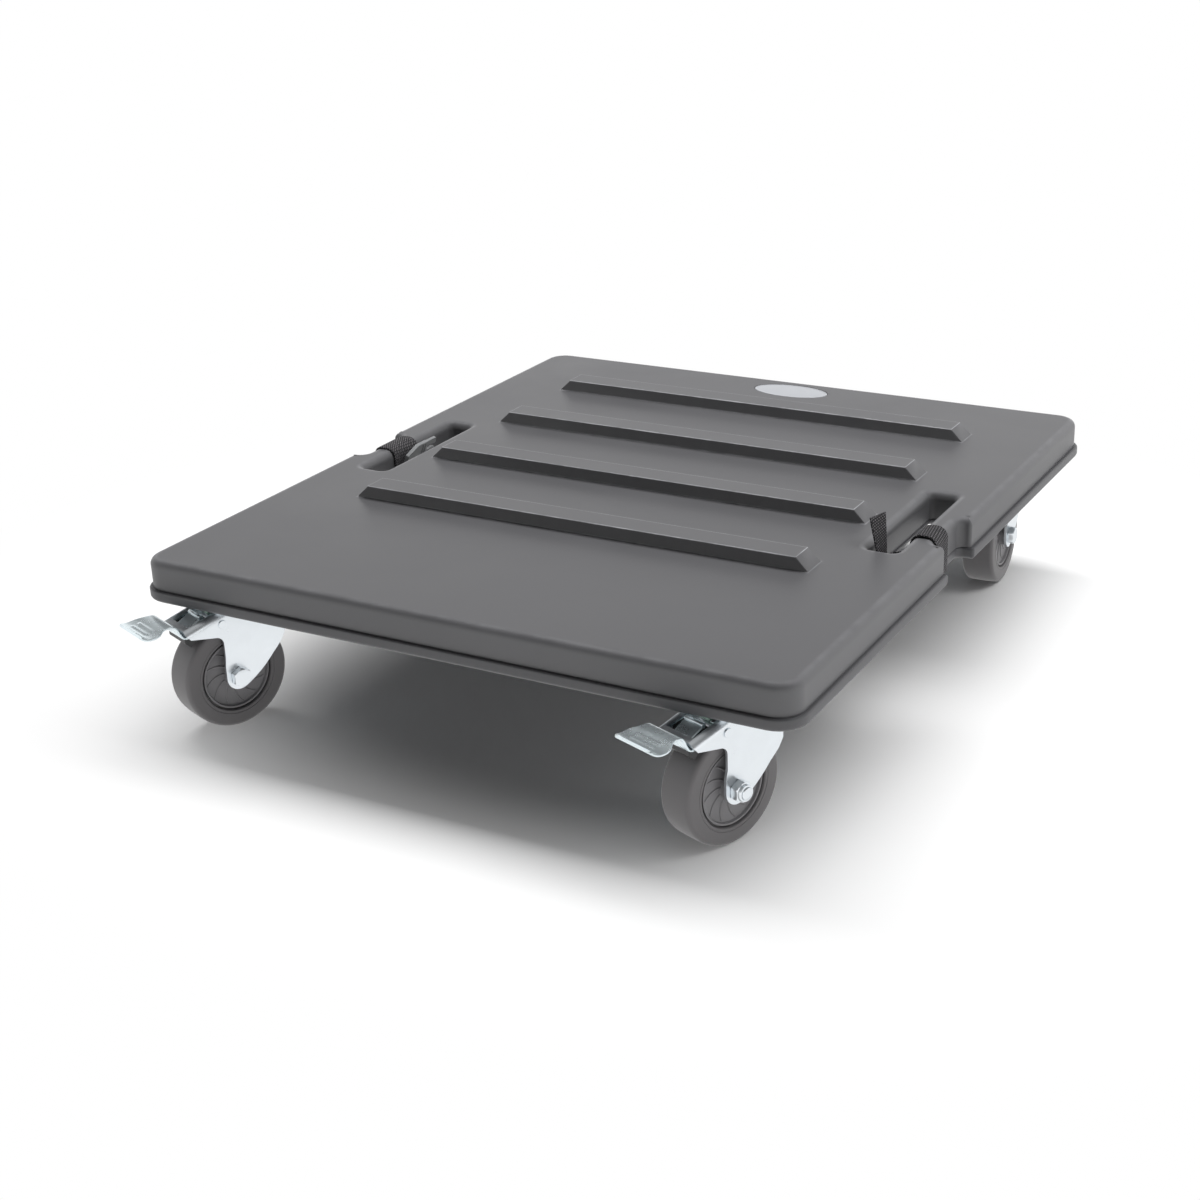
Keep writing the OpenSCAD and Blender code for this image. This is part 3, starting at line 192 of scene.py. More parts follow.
class Shell:
    """Points and faces of one piece, gathered grid by grid, with a UV map in metres."""

    def __init__(self):
        self.points = np.zeros((0, 3))
        self.faces = []
        self.uvs = []
        self.gaps = []
        self.painted_highlight = np.zeros(0)

    def grid(self, rings, loop_rows=False, caps=False, painted_highlight=0.0):
        """Adds quads over rows of points, each a closed ring, and returns the points' numbers.

        The painted highlight of each row, from 0 to 1, is how far its plastic is lightened to stand in for
        the shine on its edges.
        """
        rows, columns = rings.shape[:2]
        self.painted_highlight = np.r_[self.painted_highlight, np.repeat(np.broadcast_to(painted_highlight, rows), columns)]
        index = len(self.points) + np.arange(rows * columns).reshape(rows, columns)
        self.points = np.vstack([self.points, rings.reshape(-1, 3)])
        numbers = np.concatenate([index, index[:, :1]], 1)
        places = np.concatenate([rings, rings[:, :1]], 1)
        if loop_rows:
            numbers = np.concatenate([numbers, numbers[:1]], 0)
            places = np.concatenate([places, places[:1]], 0)
        across = np.linalg.norm(np.diff(places, axis=1), axis=2).mean(0)
        down = np.linalg.norm(np.diff(places, axis=0), axis=2).mean(1)
        uv = np.stack(np.meshgrid(np.r_[0, np.cumsum(across)], np.r_[0, np.cumsum(down)]), -1)
        corners = [(slice(None, -1), slice(None, -1)), (slice(None, -1), slice(1, None))]
        corners += [(slice(1, None), slice(1, None)), (slice(1, None), slice(None, -1))]
        self.faces += np.stack([numbers[c] for c in corners], -1).reshape(-1, 4).tolist()
        self.uvs += np.stack([uv[c] for c in corners], -2).reshape(-1, 2).tolist()
        if caps:
            for row in (index[0], index[-1]):
                self.faces.append(row.tolist())
                self.uvs += self.points[row][:, :2].tolist()
        return index

    def fill(self, *loops):
        """Closes the flat area inside the first loop and outside the others."""
        self.gaps.append([loop.tolist() for loop in loops])

    def build(self, name, body, material, replaces=(), sharp=35):
        """Makes the object: its place is in its mesh, its faces point outwards."""
        mesh = bpy.data.meshes.new(name)
        mesh.from_pydata(self.points.tolist(), [], self.faces)
        mesh.uv_layers.new(name="UVMap").data.foreach_set("uv", np.array(self.uvs).ravel())
        # Painted highlight of each point, which the plastic material turns into a lighter colour
        mesh.attributes.new("painted_highlight", "FLOAT", "POINT").data.foreach_set("value", self.painted_highlight)
        work = bmesh.new()
        work.from_mesh(mesh)
        work.verts.ensure_lookup_table()
        for loops in self.gaps:
            edges = []
            for loop in loops:
                for a, b in zip(loop, loop[1:] + loop[:1]):
                    pair = (work.verts[a], work.verts[b])
                    edges.append(work.edges.get(pair) or work.edges.new(pair))
            bmesh.ops.triangle_fill(work, edges=edges, use_beauty=True, normal=(0, 0, 1))
        bmesh.ops.recalc_face_normals(work, faces=work.faces)
        work.to_mesh(mesh)
        work.free()
        piece = bpy.data.objects.new(name, mesh)
        return finished(piece, body, material, replaces, sharp)

    def dress(self, node, body, material, sharp=35):
        """Makes the object that takes the place of a node's solid."""
        return self.build(node + "_dressed", body, material, (node,), sharp)


def finished(piece, body, material, replaces=(), sharp=35):
    """Links a piece, gives it its material and smooth faces, and makes it ride on its body."""
    bpy.context.scene.collection.objects.link(piece)
    piece.data.materials.clear()
    piece.data.materials.append(material)
    piece.data.shade_smooth()
    piece.data.set_sharp_from_angle(angle=math.radians(sharp))
    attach(piece, body)
    if replaces:
        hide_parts(*replaces)
    return piece


def rounded(piece, width, segments):
    """Rounds a piece's sharp edges with a bevel."""
    bevel = piece.modifiers.new("Rounded edges", "BEVEL")
    bevel.width = width
    bevel.segments = segments
    bevel.limit_method = "ANGLE"
    bevel.angle_limit = math.radians(32)
    bevel.miter_outer = "MITER_ARC"
    bevel.harden_normals = True


def softened(node, body, material, width, segments=3):
    """Copy of a node's solid with merged flat faces, whose sharp edges are rounded by a bevel."""
    work = bmesh.new()
    work.from_mesh(frame["nodes"][node].data)
    bmesh.ops.remove_doubles(work, verts=work.verts, dist=2e-6)
    bmesh.ops.dissolve_limit(work, angle_limit=math.radians(0.6), verts=work.verts, edges=work.edges)
    mesh = bpy.data.meshes.new(node + "_dressed")
    work.to_mesh(mesh)
    work.free()
    piece = bpy.data.objects.new(node + "_dressed", mesh)
    finished(piece, body, material, (node,))
    rounded(piece, width, segments)


class Place:
    """The place of one caster: x runs along the axle, y to the back and z up, from the wheel centre."""

    def __init__(self, caster):
        roll = JOINTS[caster + "_roll"]
        self.centre = np.array(roll["pos_m"])
        self.x = np.array(roll["axis"])
        self.x /= np.linalg.norm(self.x)
        self.y = np.cross([0.0, 0.0, 1.0], self.x)
        self.turn = np.stack([self.x, self.y, [0.0, 0.0, 1.0]])

    def __call__(self, local):
        """Carries points from the caster's own axes into the frame."""
        return local @ self.turn + self.centre


# Materials


def node(tree, kind, inputs=None, **settings):
    """Adds a shader node, sets its properties and fills or links its inputs."""
    made = tree.nodes.new(kind)
    for key, value in settings.items():
        setattr(made, key, value)
    for key, value in (inputs or {}).items():
        if isinstance(value, bpy.types.NodeSocket):
            tree.links.new(value, made.inputs[key])
        else:
            made.inputs[key].default_value = value
    return made


def ramp(tree, source, stops):
    """Ramp of greys over a value, from (position, grey) stops."""
    made = node(tree, "ShaderNodeValToRGB", {"Fac": source})
    elements = made.color_ramp.elements
    while len(elements) < len(stops):
        elements.new(0.5)
    for element, (position, shade) in zip(elements, stops):
        element.position = position
        element.color = (shade, shade, shade, 1)
    return made.outputs["Color"]


def noise(tree, where, scale, detail=2.0, distortion=0.0):
    """Noise of the given number of cells in a metre."""
    made = node(
        tree,
        "ShaderNodeTexNoise",
        {"Vector": where, "Scale": scale, "Detail": detail, "Distortion": distortion},
    )
    return made.outputs["Fac"]


def maths(tree, operation, *values):
    """Result of a mathematical operation on values."""
    return node(tree, "ShaderNodeMath", dict(enumerate(values)), operation=operation).outputs[0]


def scaled(tree, value, factor, offset=0.0):
    """Value times a factor plus an offset."""
    return maths(tree, "MULTIPLY_ADD", value, factor, offset)


def mixed(tree, share, first, second, kind="RGBA", blend="MIX"):
    """Mix of two colours by a share, or of two numbers where the kind is FLOAT."""
    a, b, result = {"RGBA": (6, 7, 2), "FLOAT": (2, 3, 0)}[kind]
    inputs = {0: share, a: first, b: second}
    return node(tree, "ShaderNodeMix", inputs, data_type=kind, blend_type=blend).outputs[result]


def bump(tree, height, depth, under=None):
    """Bump of the given depth in metres, on top of another bump."""
    inputs = {"Height": height, "Distance": depth, "Strength": 1.0}
    if under is not None:
        inputs["Normal"] = under
    return node(tree, "ShaderNodeBump", inputs).outputs["Normal"]


def new_material(name):
    """Empty node material with its tree, its shader and object coordinates."""
    material = bpy.data.materials.new(name)
    material.use_nodes = True
    tree = material.node_tree
    tree.nodes.clear()
    shader = node(tree, "ShaderNodeBsdfPrincipled")
    output = node(tree, "ShaderNodeOutputMaterial")
    tree.links.new(shader.outputs[0], output.inputs["Surface"])
    where = node(tree, "ShaderNodeTexCoord")
    return material, tree, shader, where


def tinted(tree, colour, value, spread):
    """Colour made lighter and darker by a value round one half."""
    bright = scaled(tree, value, spread, 1 - spread / 2)
    return mixed(tree, 1.0, (*colour, 1), bright, blend="MULTIPLY")


def moulded_plastic(name, colour, roughness, grain_mm, spread=0.3, wave=0.25 * MM):
    """Textured plastic: fine grain, clouds in its shade and gloss, painted highlights on its edges and a
    slow wave.
    """
    material, tree, shader, where = new_material(name)
    place = where.outputs["Object"]
    clouds = noise(tree, place, 5, 4, 0.8)
    patches = noise(tree, place, 45, 3, 0.6)
    # Painted highlight: rows marked by the attribute get a lighter colour, in patches, as shine on the edges
    painted_highlight = node(tree, "ShaderNodeAttribute", attribute_name="painted_highlight").outputs["Fac"]
    shade = scaled(tree, maths(tree, "MULTIPLY", painted_highlight, patches), HIGHLIGHT_GAIN / spread, clouds)
    tree.links.new(tinted(tree, colour, shade, spread), shader.inputs["Base Color"])
    tree.links.new(scaled(tree, clouds, 0.24, roughness - 0.12), shader.inputs["Roughness"])
    slow = bump(tree, noise(tree, place, 14, 1), wave)
    grain = bump(tree, noise(tree, place, 1 / (grain_mm * MM), 2), 0.02 * MM, slow)
    tree.links.new(grain, shader.inputs["Normal"])
    shader.inputs["Specular IOR Level"].default_value = 0.5
    return material


def zinc_plate(name, colour, roughness, metallic=1.0):
    """Bright zinc over rolled steel: cloudy gloss, fine rolling lines and a cold tint."""
    material, tree, shader, where = new_material(name)
    place = where.outputs["Object"]
    clouds = noise(tree, place, 60, 5, 0.4)
    tree.links.new(tinted(tree, colour, clouds, 0.12), shader.inputs["Base Color"])
    tree.links.new(scaled(tree, clouds, 0.18, roughness - 0.09), shader.inputs["Roughness"])
    slow = bump(tree, noise(tree, place, 35, 2), 0.05 * MM)
    grain = bump(tree, noise(tree, place, 1400, 2), 0.003 * MM, slow)
    tree.links.new(grain, shader.inputs["Normal"])
    shader.inputs["Metallic"].default_value = metallic
    return material


def rubber(name, colour, roughness):
    """Matt rubber with faint clouds of dust and a fine moulded grain."""
    material, tree, shader, where = new_material(name)
    place = where.outputs["Object"]
    clouds = noise(tree, place, 30, 4)
    tree.links.new(tinted(tree, colour, clouds, 0.2), shader.inputs["Base Color"])
    tree.links.new(scaled(tree, clouds, 0.2, roughness - 0.1), shader.inputs["Roughness"])
    grain = bump(tree, noise(tree, place, 1600, 2), 0.01 * MM)
    tree.links.new(grain, shader.inputs["Normal"])
    return material


def woven(name, colour, sheen_colour, cell_mm, slant):
    """Webbing on its UV map in metres: slanting rows of short floats, pale on their crowns as a painted
    sheen, with painted shade between them.
    """
    material, tree, shader, where = new_material(name)
    turn = {"Vector": where.outputs["UV"], "Rotation": (0, 0, math.radians(slant))}
    turned_map = node(tree, "ShaderNodeMapping", turn).outputs["Vector"]
    fluff = noise(tree, turned_map, 900, 2)
    floats = node(
        tree,
        "ShaderNodeTexBrick",
        {
            "Vector": turned_map,
            "Color1": (1, 1, 1, 1),
            "Color2": (0.6, 0.6, 0.6, 1),
            "Mortar": (0, 0, 0, 1),
            "Scale": 1 / MM,
            "Mortar Size": 0.34 * cell_mm[1],
            "Mortar Smooth": 0.5,
            "Brick Width": cell_mm[0],
            "Row Height": cell_mm[1],
        },
        offset=0.5,
    ).outputs["Color"]
    # Painted sheen: the crowns of the floats turn towards the pale colour, and the near-black between them
    # is painted shade
    crown = maths(tree, "MULTIPLY", floats, scaled(tree, fluff, 0.8, 0.35))
    tree.links.new(mixed(tree, crown, (*colour, 1), (*sheen_colour, 1)), shader.inputs["Base Color"])
    tree.links.new(bump(tree, floats, 0.3 * MM), shader.inputs["Normal"])
    shader.inputs["Roughness"].default_value = 0.85
    return material


# Settings


def amount(name, default, text, **more):
    """Property for a number that is never below 0."""
    return bpy.props.FloatProperty(name=name, description=text, default=default, min=0.0, **more)


def length(name, default, text):
    """Property for a length in metres."""
    return amount(name, default, text, unit="LENGTH", precision=5)


def lengths(name, default, text):
    """Property for two or three lengths in metres."""
    return bpy.props.FloatVectorProperty(
        name=name, description=text, default=default, size=len(default), unit="LENGTH"
    )


def colour(name, default, text):
    """Property for a linear colour."""
    return bpy.props.FloatVectorProperty(
        name=name, description=text, default=default, size=3, min=0.0, max=1.0, subtype="COLOR"
    )


def factor(name, default, text):
    """Property for a share from 0 to 1."""
    return amount(name, default, text, max=1.0, subtype="FACTOR")


class DeckSettings(bpy.types.PropertyGroup):
    """Edges and finish of the deck."""

    edge_radius: length("Edge radius", 7 * MM, "Radius of the rounded top edge")
    mouth_radius: length("Mouth radius", 8 * MM, "Radius of the rounded mouths of the slots")
    corner_radius: length("Corner radius", 22 * MM, "Radius of the four corners in plan")
    rib_fillet: length("Rib fillet", 1.6 * MM, "Radius at the foot of a rib")
    rib_edge: length("Rib edge", 1.1 * MM, "Radius of the top edge of a rib")
    skin_colour: colour("Top", (0.085, 0.085, 0.089), "Colour of the upper moulding")
    base_colour: colour("Base", (0.06, 0.06, 0.064), "Colour of the lower moulding")
    badge_colour: colour("Badge", (0.33, 0.34, 0.36), "Colour of the blank badge")
    roughness: factor("Roughness", 0.42, "Roughness of the moulded faces")


class CasterSettings(bpy.types.PropertyGroup):
    """Finish of the casters."""

    zinc_colour: colour("Zinc", (0.80, 0.84, 0.87), "Colour of the zinc plate")
    zinc_roughness: factor("Zinc roughness", 0.3, "Roughness of the zinc plate")
    pedal_colour: colour("Pedal", (0.72, 0.8, 0.83), "Colour of the duller plate on the pedals")
    tyre_colour: colour("Tyre", (0.12, 0.115, 0.118), "Colour of the tyres")
    hub_colour: colour("Wheel centre", (0.17, 0.166, 0.172), "Colour of the wheel centres")
    shoe_colour: colour("Brake shoe", (0.012, 0.012, 0.013), "Colour of the brake shoes")
    spring_colour: colour("Spring", (0.30, 0.42, 0.36), "Colour of the leaf springs")


class StrapSettings(bpy.types.PropertyGroup):
    """Finish of the straps and the buckle."""

    # The thread colour is a painted sheen on the crowns of the threads; the webbing colour is the webbing's
    # own dark colour and also painted shade between the threads
    webbing_and_shade_colour: colour("Webbing", (0.008, 0.008, 0.009), "Colour between the threads of the webbing")
    thread_sheen_colour: colour("Threads", (0.2, 0.19, 0.2), "Colour on the crowns of the threads")
    buckle_colour: colour("Buckle", (0.2, 0.205, 0.21), "Colour of the buckle")


class StageSettings(bpy.types.PropertyGroup):
    """Light and floor."""

    all_round: amount("All round", 0.136, "Strength of the soft light from every side")
    side_share: amount("Right side", 0.12, "How much the sky gains towards the right")
    back_share: amount("Back", 0.16, "How much the sky gains towards the back")
    strip_power: amount("Overhead strip", 158, "Power of the lamp above", unit="POWER")
    strip_size: lengths("Strip size", (6, 1), "Length and width of the lamp above")
    strip_place: lengths("Strip place", (0, 0.75, 2.4), "Middle of the lamp above")
    side_power: amount("Side lamp", 9, "Power of the lamp at the right", unit="POWER")
    side_size: lengths("Side lamp size", (0.5, 2.6), "Length and width of the lamp at the right")
    side_place: lengths("Side lamp place", (2.2, 0.2, 0.28), "Middle of the lamp at the right")
    floor_colour: colour("Floor", (0.85, 0.85, 0.85), "Colour of the floor")


def settings():
    """The add-on's settings in the scene."""
    return bpy.context.scene.caster_platform


def kept(name, make):
    """A material by name, made the first time it is asked for."""
    return bpy.data.materials.get(name) or make(name)


def zinc():
    """Material of the bright plated steel pieces."""
    casters = settings().casters
    return kept("Zinc plate", lambda n: zinc_plate(n, casters.zinc_colour, casters.zinc_roughness))


def rubber_of(name, shade, roughness):
    """Rubber by name and colour."""
    return kept(name, lambda n: rubber(n, shade, roughness))


# Pieces


class PlatformOperator:
    """What the operators share."""

    bl_options = {"REGISTER", "UNDO"}


def deck_corners(half_w, half_l, corner_r, notch_x, notch_y, notch_r, mouth_r):
    """Corners of the deck's plan, anticlockwise from the front right, with a notch in each long side."""
    right = [(half_w, -half_l, corner_r), (half_w, notch_y[0], mouth_r), (notch_x, notch_y[0], notch_r)]
    right += [(notch_x, notch_y[1], notch_r), (half_w, notch_y[1], mouth_r), (half_w, half_l, corner_r)]
    return right + [(-x, y, r) for x, y, r in reversed(right)]


def slot_corners(side, low, high, radius):
    """Corners of a slot's plan, clockwise, because it is a hole."""
    left, right = sorted((side * low[0], side * high[0]))
    corners = [(left, low[1]), (left, high[1]), (right, high[1]), (right, low[1])]
    return [(*corner, radius) for corner in corners]


def rib_rings(centre_y, fillet, edge):
    """Rings of one rib: a fillet at its foot, a steep side, a long end slope and a rounded top edge.

    A ring is a rectangle with small round corners. Its side and its end follow their own slopes, and
    round a corner the one turns into the other by the squared sine of the angle.
    """
    height = SKIN_HIGH[2] - LOAD_Z

    def slope_profile(run):
        rise = math.degrees(math.atan2(height, run))
        reach = math.tan(math.radians(rise) / 2)
        turn = arc(0, rise, 6)
        foot = fillet * np.c_[np.sin(turn) - reach, 1 - np.cos(turn)]
        top = [run, height] + edge * np.c_[reach - np.sin(turn[::-1]), np.cos(turn[::-1]) - 1]
        start = [[-fillet * reach - FLAT_MARGIN, 0.0]]
        end = [[run + edge * reach + FLAT_MARGIN, height]]
        return np.vstack([start, foot, top, end])

    sides = slope_profile(RIB_SIDE_RUN)
    ends = slope_profile(RIB_END_RUN)
    angle = arc(0, 90, 6)
    blend = np.sin(angle) ** 2
    x = RIB_L / 2 - ends[:, :1] - RIB_CORNER_R * (1 - np.cos(angle))
    y = RIB_W / 2 - sides[:, :1] - RIB_CORNER_R * (1 - np.sin(angle))
    z = LOAD_Z + ends[:, 1:] * (1 - blend) + sides[:, 1:] * blend
    quarters = []
    for sign_x, sign_y in ((1, 1), (-1, 1), (-1, -1), (1, -1)):
        quarter = np.stack([sign_x * x, sign_y * y + centre_y + DECK_Y, z], -1)
        quarters.append(quarter[:, :: sign_x * sign_y])
    return np.concatenate(quarters, 1)


def oval(half_l, half_w, centre, z, steps=72):
    """Ring of an ellipse at one height."""
    angle = np.linspace(0, 2 * math.pi, steps, endpoint=False)
    return np.c_[centre[0] + half_l * np.cos(angle), centre[1] + half_w * np.sin(angle), np.full(steps, z)]


class CASTER_PLATFORM_OT_deck_top(PlatformOperator, bpy.types.Operator):
    """Upper moulding with its ribs, slots, notches and the recess of the badge"""

    bl_idname = "caster_platform.deck_top"
    bl_label = "Upper moulding"

    def execute(self, context):
        deck = settings().deck
        shell = Shell()
        corners = deck_corners(HALF_W, HALF_L, deck.corner_radius, NOTCH_X, NOTCH_Y, NOTCH_R, MOUTH_R)
        # The rounded top edges and the slot mouths carry a painted highlight
        rims = [shell.grid(walls(corners, round_top(SEAM_Z, LOAD_Z, deck.edge_radius)), painted_highlight=EDGE_HIGHLIGHT)]
        mouth = round_top(SEAM_Z, LOAD_Z, deck.mouth_radius)
        for side in (-1, 1):
            hole = slot_corners(side, (SLOT_X[0], SLOT_Y[0]), (SLOT_X[1], SLOT_Y[1]), SLOT_R)
            rims.append(shell.grid(walls(hole, mouth), painted_highlight=EDGE_HIGHLIGHT))
        shell.fill(*[rim[0] for rim in rims])
        inner = []
        for k in range(RIB_COUNT):
            rings = rib_rings(RIB_FIRST_Y + k * RIB_PITCH, deck.rib_fillet, deck.rib_edge)
            # The rib's top edge and its foot carry a painted highlight
            rib = shell.grid(rings, painted_highlight=RIB_HIGHLIGHT)
            shell.fill(rib[-1])
            inner.append(rib[0])
        centre = (BADGE_LOW + BADGE_HIGH) / 2
        size = (BADGE_HIGH - BADGE_LOW) / 2
        depth = (LOAD_Z - BADGE_LOW[2]) / MM
        recess = np.array([(1.8, 0), (0.6, 0), (0.25, -0.15), (0.1, -0.5), (0.1, -depth)]) * MM
        rings = [oval(*(size[:2] + BADGE_GAP + out), centre, LOAD_Z + z) for out, z in recess]
        badge = shell.grid(np.stack(rings))
        shell.fill(badge[-1])
        inner.append(badge[0])
        shell.fill(*[rim[-1] for rim in rims], *inner)
        skin = kept("Deck skin", lambda n: moulded_plastic(n, deck.skin_colour, deck.roughness, 0.7))
        shell.build("deck_skin", "deck", skin, ("deck_top",))
        return {"FINISHED"}


class CASTER_PLATFORM_OT_deck_base(PlatformOperator, bpy.types.Operator):
    """Lower moulding with its lip, its recessed underside and the flanges of the slots"""

    bl_idname = "caster_platform.deck_base"
    bl_label = "Lower moulding"

    def execute(self, context):
        deck = settings().deck
        shell = Shell()
        low_z = BASE_LOW[2]
        floor_z = low_z + UNDERSIDE_DEPTH
        lip = BASE_HIGH[0] - HALF_W
        turn = arc(0, 90)
        down = np.c_[1 - np.sin(turn), np.cos(turn) - 1]
        ledge = [0, SEAM_Z] + 2.2 * MM * down
        under = [0, low_z] + 4 * MM * np.c_[1 - np.cos(turn), 1 - np.sin(turn)]
        band = 11.5 * MM
        rim = [[6 * MM, SEAM_Z], *ledge, *under, [band - 1 * MM, low_z], [band, low_z + 1 * MM]]
        rim += [[band, floor_z - FLAT_MARGIN], [band + 0.5 * MM, floor_z], [band + 2 * MM, floor_z]]
        notch_y = (NOTCH_Y[0] + FLANGE, NOTCH_Y[1] - FLANGE)
        size = (HALF_W + lip, HALF_L + lip, deck.corner_radius + lip)
        loops = [shell.grid(walls(deck_corners(*size, NOTCH_X, notch_y, NOTCH_R - FLANGE, MOUTH_R), rim))]
        ridge = [0, SEAM_Z] + 1 * MM * down
        blunt = 0.4 * MM
        inner = FLANGE + RELIEF
        wall = [[3 * MM, SEAM_Z], *ridge, [0, RIM_Z + blunt], [blunt, RIM_Z], [inner, RIM_Z]]
        wall += [[inner, floor_z + blunt], [inner + blunt, floor_z], [inner + 1.5 * MM, floor_z]]
        for side in (-1, 1):
            low = (SLOT_X[0] + FLANGE, SLOT_Y[0] + FLANGE)
            high = (SLOT_X[1], SLOT_Y[1] - FLANGE)
            loops.append(shell.grid(walls(slot_corners(side, low, high, SLOT_R - FLANGE), wall)))
        shell.fill(*[loop[0] for loop in loops])
        shell.fill(*[loop[-1] for loop in loops])
        skin = kept("Deck base", lambda n: moulded_plastic(n, deck.base_colour, deck.roughness, 0.7))
        shell.build("deck_underside", "deck", skin, ("deck_base",))
        return {"FINISHED"}


class CASTER_PLATFORM_OT_badge(PlatformOperator, bpy.types.Operator):
    """Blank oval badge with a raised rim and a slightly domed face"""

    bl_idname = "caster_platform.badge"
    bl_label = "Badge"

    def execute(self, context):
        deck = settings().deck
        centre = (BADGE_LOW + BADGE_HIGH) / 2
        half = (BADGE_HIGH - BADGE_LOW) / 2
        thickness = (BADGE_HIGH[2] - BADGE_LOW[2]) / MM
        edge = [(0, thickness), (0, 0.4), (0.12, 0.12), (0.4, 0), (1.4, 0), (1.7, 0.15), (2.1, 0.25)]
        face = [(4, 0.22), (9, 0.1), (15, 0.03)]
        shell = Shell()
        steps = np.array(edge + face) * MM
        rings = [oval(*(half[:2] - inset), centre, BADGE_HIGH[2] - depth) for inset, depth in steps]
        shell.grid(np.stack(rings), caps=True)
        grey = kept("Badge", lambda n: moulded_plastic(n, deck.badge_colour, 0.38, 0.5, 0.06, 0.02 * MM))
        shell.build("badge_plate", "deck", grey, ("badge",))
        return {"FINISHED"}


TYRE_R = 50 * MM
TYRE_HALF_W = 16.15 * MM

# Vanes of a wheel centre
VANES = 12
VANE_ROOT = 9.8 * MM
VANE_RUN = 20.6 * MM
VANE_BEND = math.radians(26)
VANE_WIDTH = (4.0 * MM, 2.6 * MM)
VANE_FOOT_X = 11.6 * MM
VANE_RISE = 1.3 * MM


class CASTER_PLATFORM_OT_wheels(PlatformOperator, bpy.types.Operator):
    """Tyres and wheel centres"""

    bl_idname = "caster_platform.wheels"
    bl_label = "Wheels"

    def tyre(self, place, name, body):
        """A tyre: crowned tread, round shoulders, a fine ring in its face and a groove at its seat."""
        turn = arc(0, 90)
        shoulder = 4 * MM
        crown = 0.5 * MM
        half = TYRE_HALF_W
        tread_x = np.linspace(0, half - shoulder, 6)
        tread = np.c_[TYRE_R - crown * (tread_x / half) ** 2, tread_x]
        corner_r = tread[-1, 0] - shoulder
        corner = np.c_[corner_r + shoulder * np.cos(turn), half - shoulder + shoulder * np.sin(turn)]
        face = [(40, 0), (37.6, 0), (37.4, 0.35), (36.9, 0.4), (36.6, 0.1), (35.2, 0)]
        face += [(34.6, 0.2), (34.1, 0.9), (33.9, 2.0), (33.8, 4.15), (33.1, 4.15)]
        face = [(r * MM, half - depth * MM) for r, depth in face]
        side = np.vstack([tread, corner[1:], face])
        profile = np.vstack([side, side[::-1] * [1, -1]])[:-1]
        shell = Shell()
        shell.grid(place(turned(profile, 112)), loop_rows=True)
        tone = settings().casters.tyre_colour
        shell.dress(name + "_tyre", body, rubber_of("Tyre", tone, 0.5))

    def centre(self, place, name, body):
        """A wheel centre: hub boss, dished web, rim, and curved vanes on both faces.

        A vane bends by the share of its run to the power 1.3, narrows and sinks a little outwards.
        """
        shell = Shell()
        half = [(7.9, 0.0), (7.9, 17.3), (8.4, 17.6), (9.8, 17.6), (10.5, 17.2), (10.7, 14.2), (11.6, 12.4)]
        half += [(13, 12.0), (22, 11.8), (29.0, 12.0), (30.0, 12.6), (30.4, 14.4), (30.8, 14.9)]
        half += [(31.9, 15.0), (32.3, 14.8), (32.4, 14.0), (32.4, 12.0), (33.1, 12.0)]
        half = np.array(half) * MM
        profile = np.vstack([half, half[::-1] * [1, -1]])[:-1]
        shell.grid(place(turned(profile, 112)), loop_rows=True)
        along = np.linspace(0, 1, 12)
        radius = VANE_ROOT + VANE_RUN * along
        half_angle = (VANE_WIDTH[0] + (VANE_WIDTH[1] - VANE_WIDTH[0]) * along) / 2 / radius
        lateral = np.array([1.0, 0.7, 0.4, 0.15, 0.0, -0.15, -0.4, -0.7, -1.0])
        bell = np.array([-0.6, 0.1, 0.65, 0.95, 1.0, 0.95, 0.65, 0.1, -0.6])
        height = VANE_FOOT_X + VANE_RISE * bell * (1 - 0.35 * along[:, None])
        for side in (-1, 1):
            for k in range(VANES):
                middle = 2 * math.pi * (k + 0.5) / VANES + side * VANE_BEND * along**1.3
                turn = middle[:, None] + lateral * half_angle[:, None]
                y, z = (radius[:, None] * wave(turn) for wave in (np.cos, np.sin))
                shell.grid(place(np.stack([side * height, y, z], -1)), caps=True)
        tone = settings().casters.hub_colour
        made = kept("Wheel centre", lambda n: moulded_plastic(n, tone, 0.42, 0.5, 0.2, 0.03 * MM))
        shell.dress(name + "_wheel_centre", body, made)

    def execute(self, context):
        for name in CASTERS:
            place = Place(name)
            self.tyre(place, name, name + "_wheel")
            self.centre(place, name, name + "_wheel")
        return {"FINISHED"}


class CASTER_PLATFORM_OT_forks(PlatformOperator, bpy.types.Operator):
    """Forks, mounting plates, bearings and pins"""

    bl_idname = "caster_platform.forks"
    bl_label = "Forks and plates"

    def execute(self, context):
        steel = zinc()
        bright = kept("Bearing steel", lambda n: zinc_plate(n, (0.8, 0.8, 0.8), 0.1))
        for name in CASTERS:
            softened(name + "_fork", name + "_swivel", steel, 0.5 * MM)
            softened(name + "_top_plate", "deck", steel, 0.4 * MM)
            softened(name + "_kingpin", "deck", steel, 0.4 * MM)
            softened(name + "_lower_race", "deck", steel, 0.3 * MM)
            softened(name + "_axle_sleeve", name + "_swivel", steel, 0.2 * MM, 2)
            balls = frame["nodes"][name + "_balls"]
            balls.data.materials.clear()
            balls.data.materials.append(bright)
        softened("plate_bolts", "deck", steel, 0.5 * MM)
        softened("plate_nuts", "deck", steel, 0.4 * MM, 2)
        return {"FINISHED"}


LEG_OUTER = 20.4 * MM
AXLE_FLATS = 16 * MM
SHANK_R = 4.95 * MM
SHANK_END = LEG_OUTER + 10.6 * MM
SHANK_CHAMFER = 0.6 * MM
NUT_SIDE = {"front_left": -1, "front_right": 1, "rear_left": -1, "rear_right": -1}

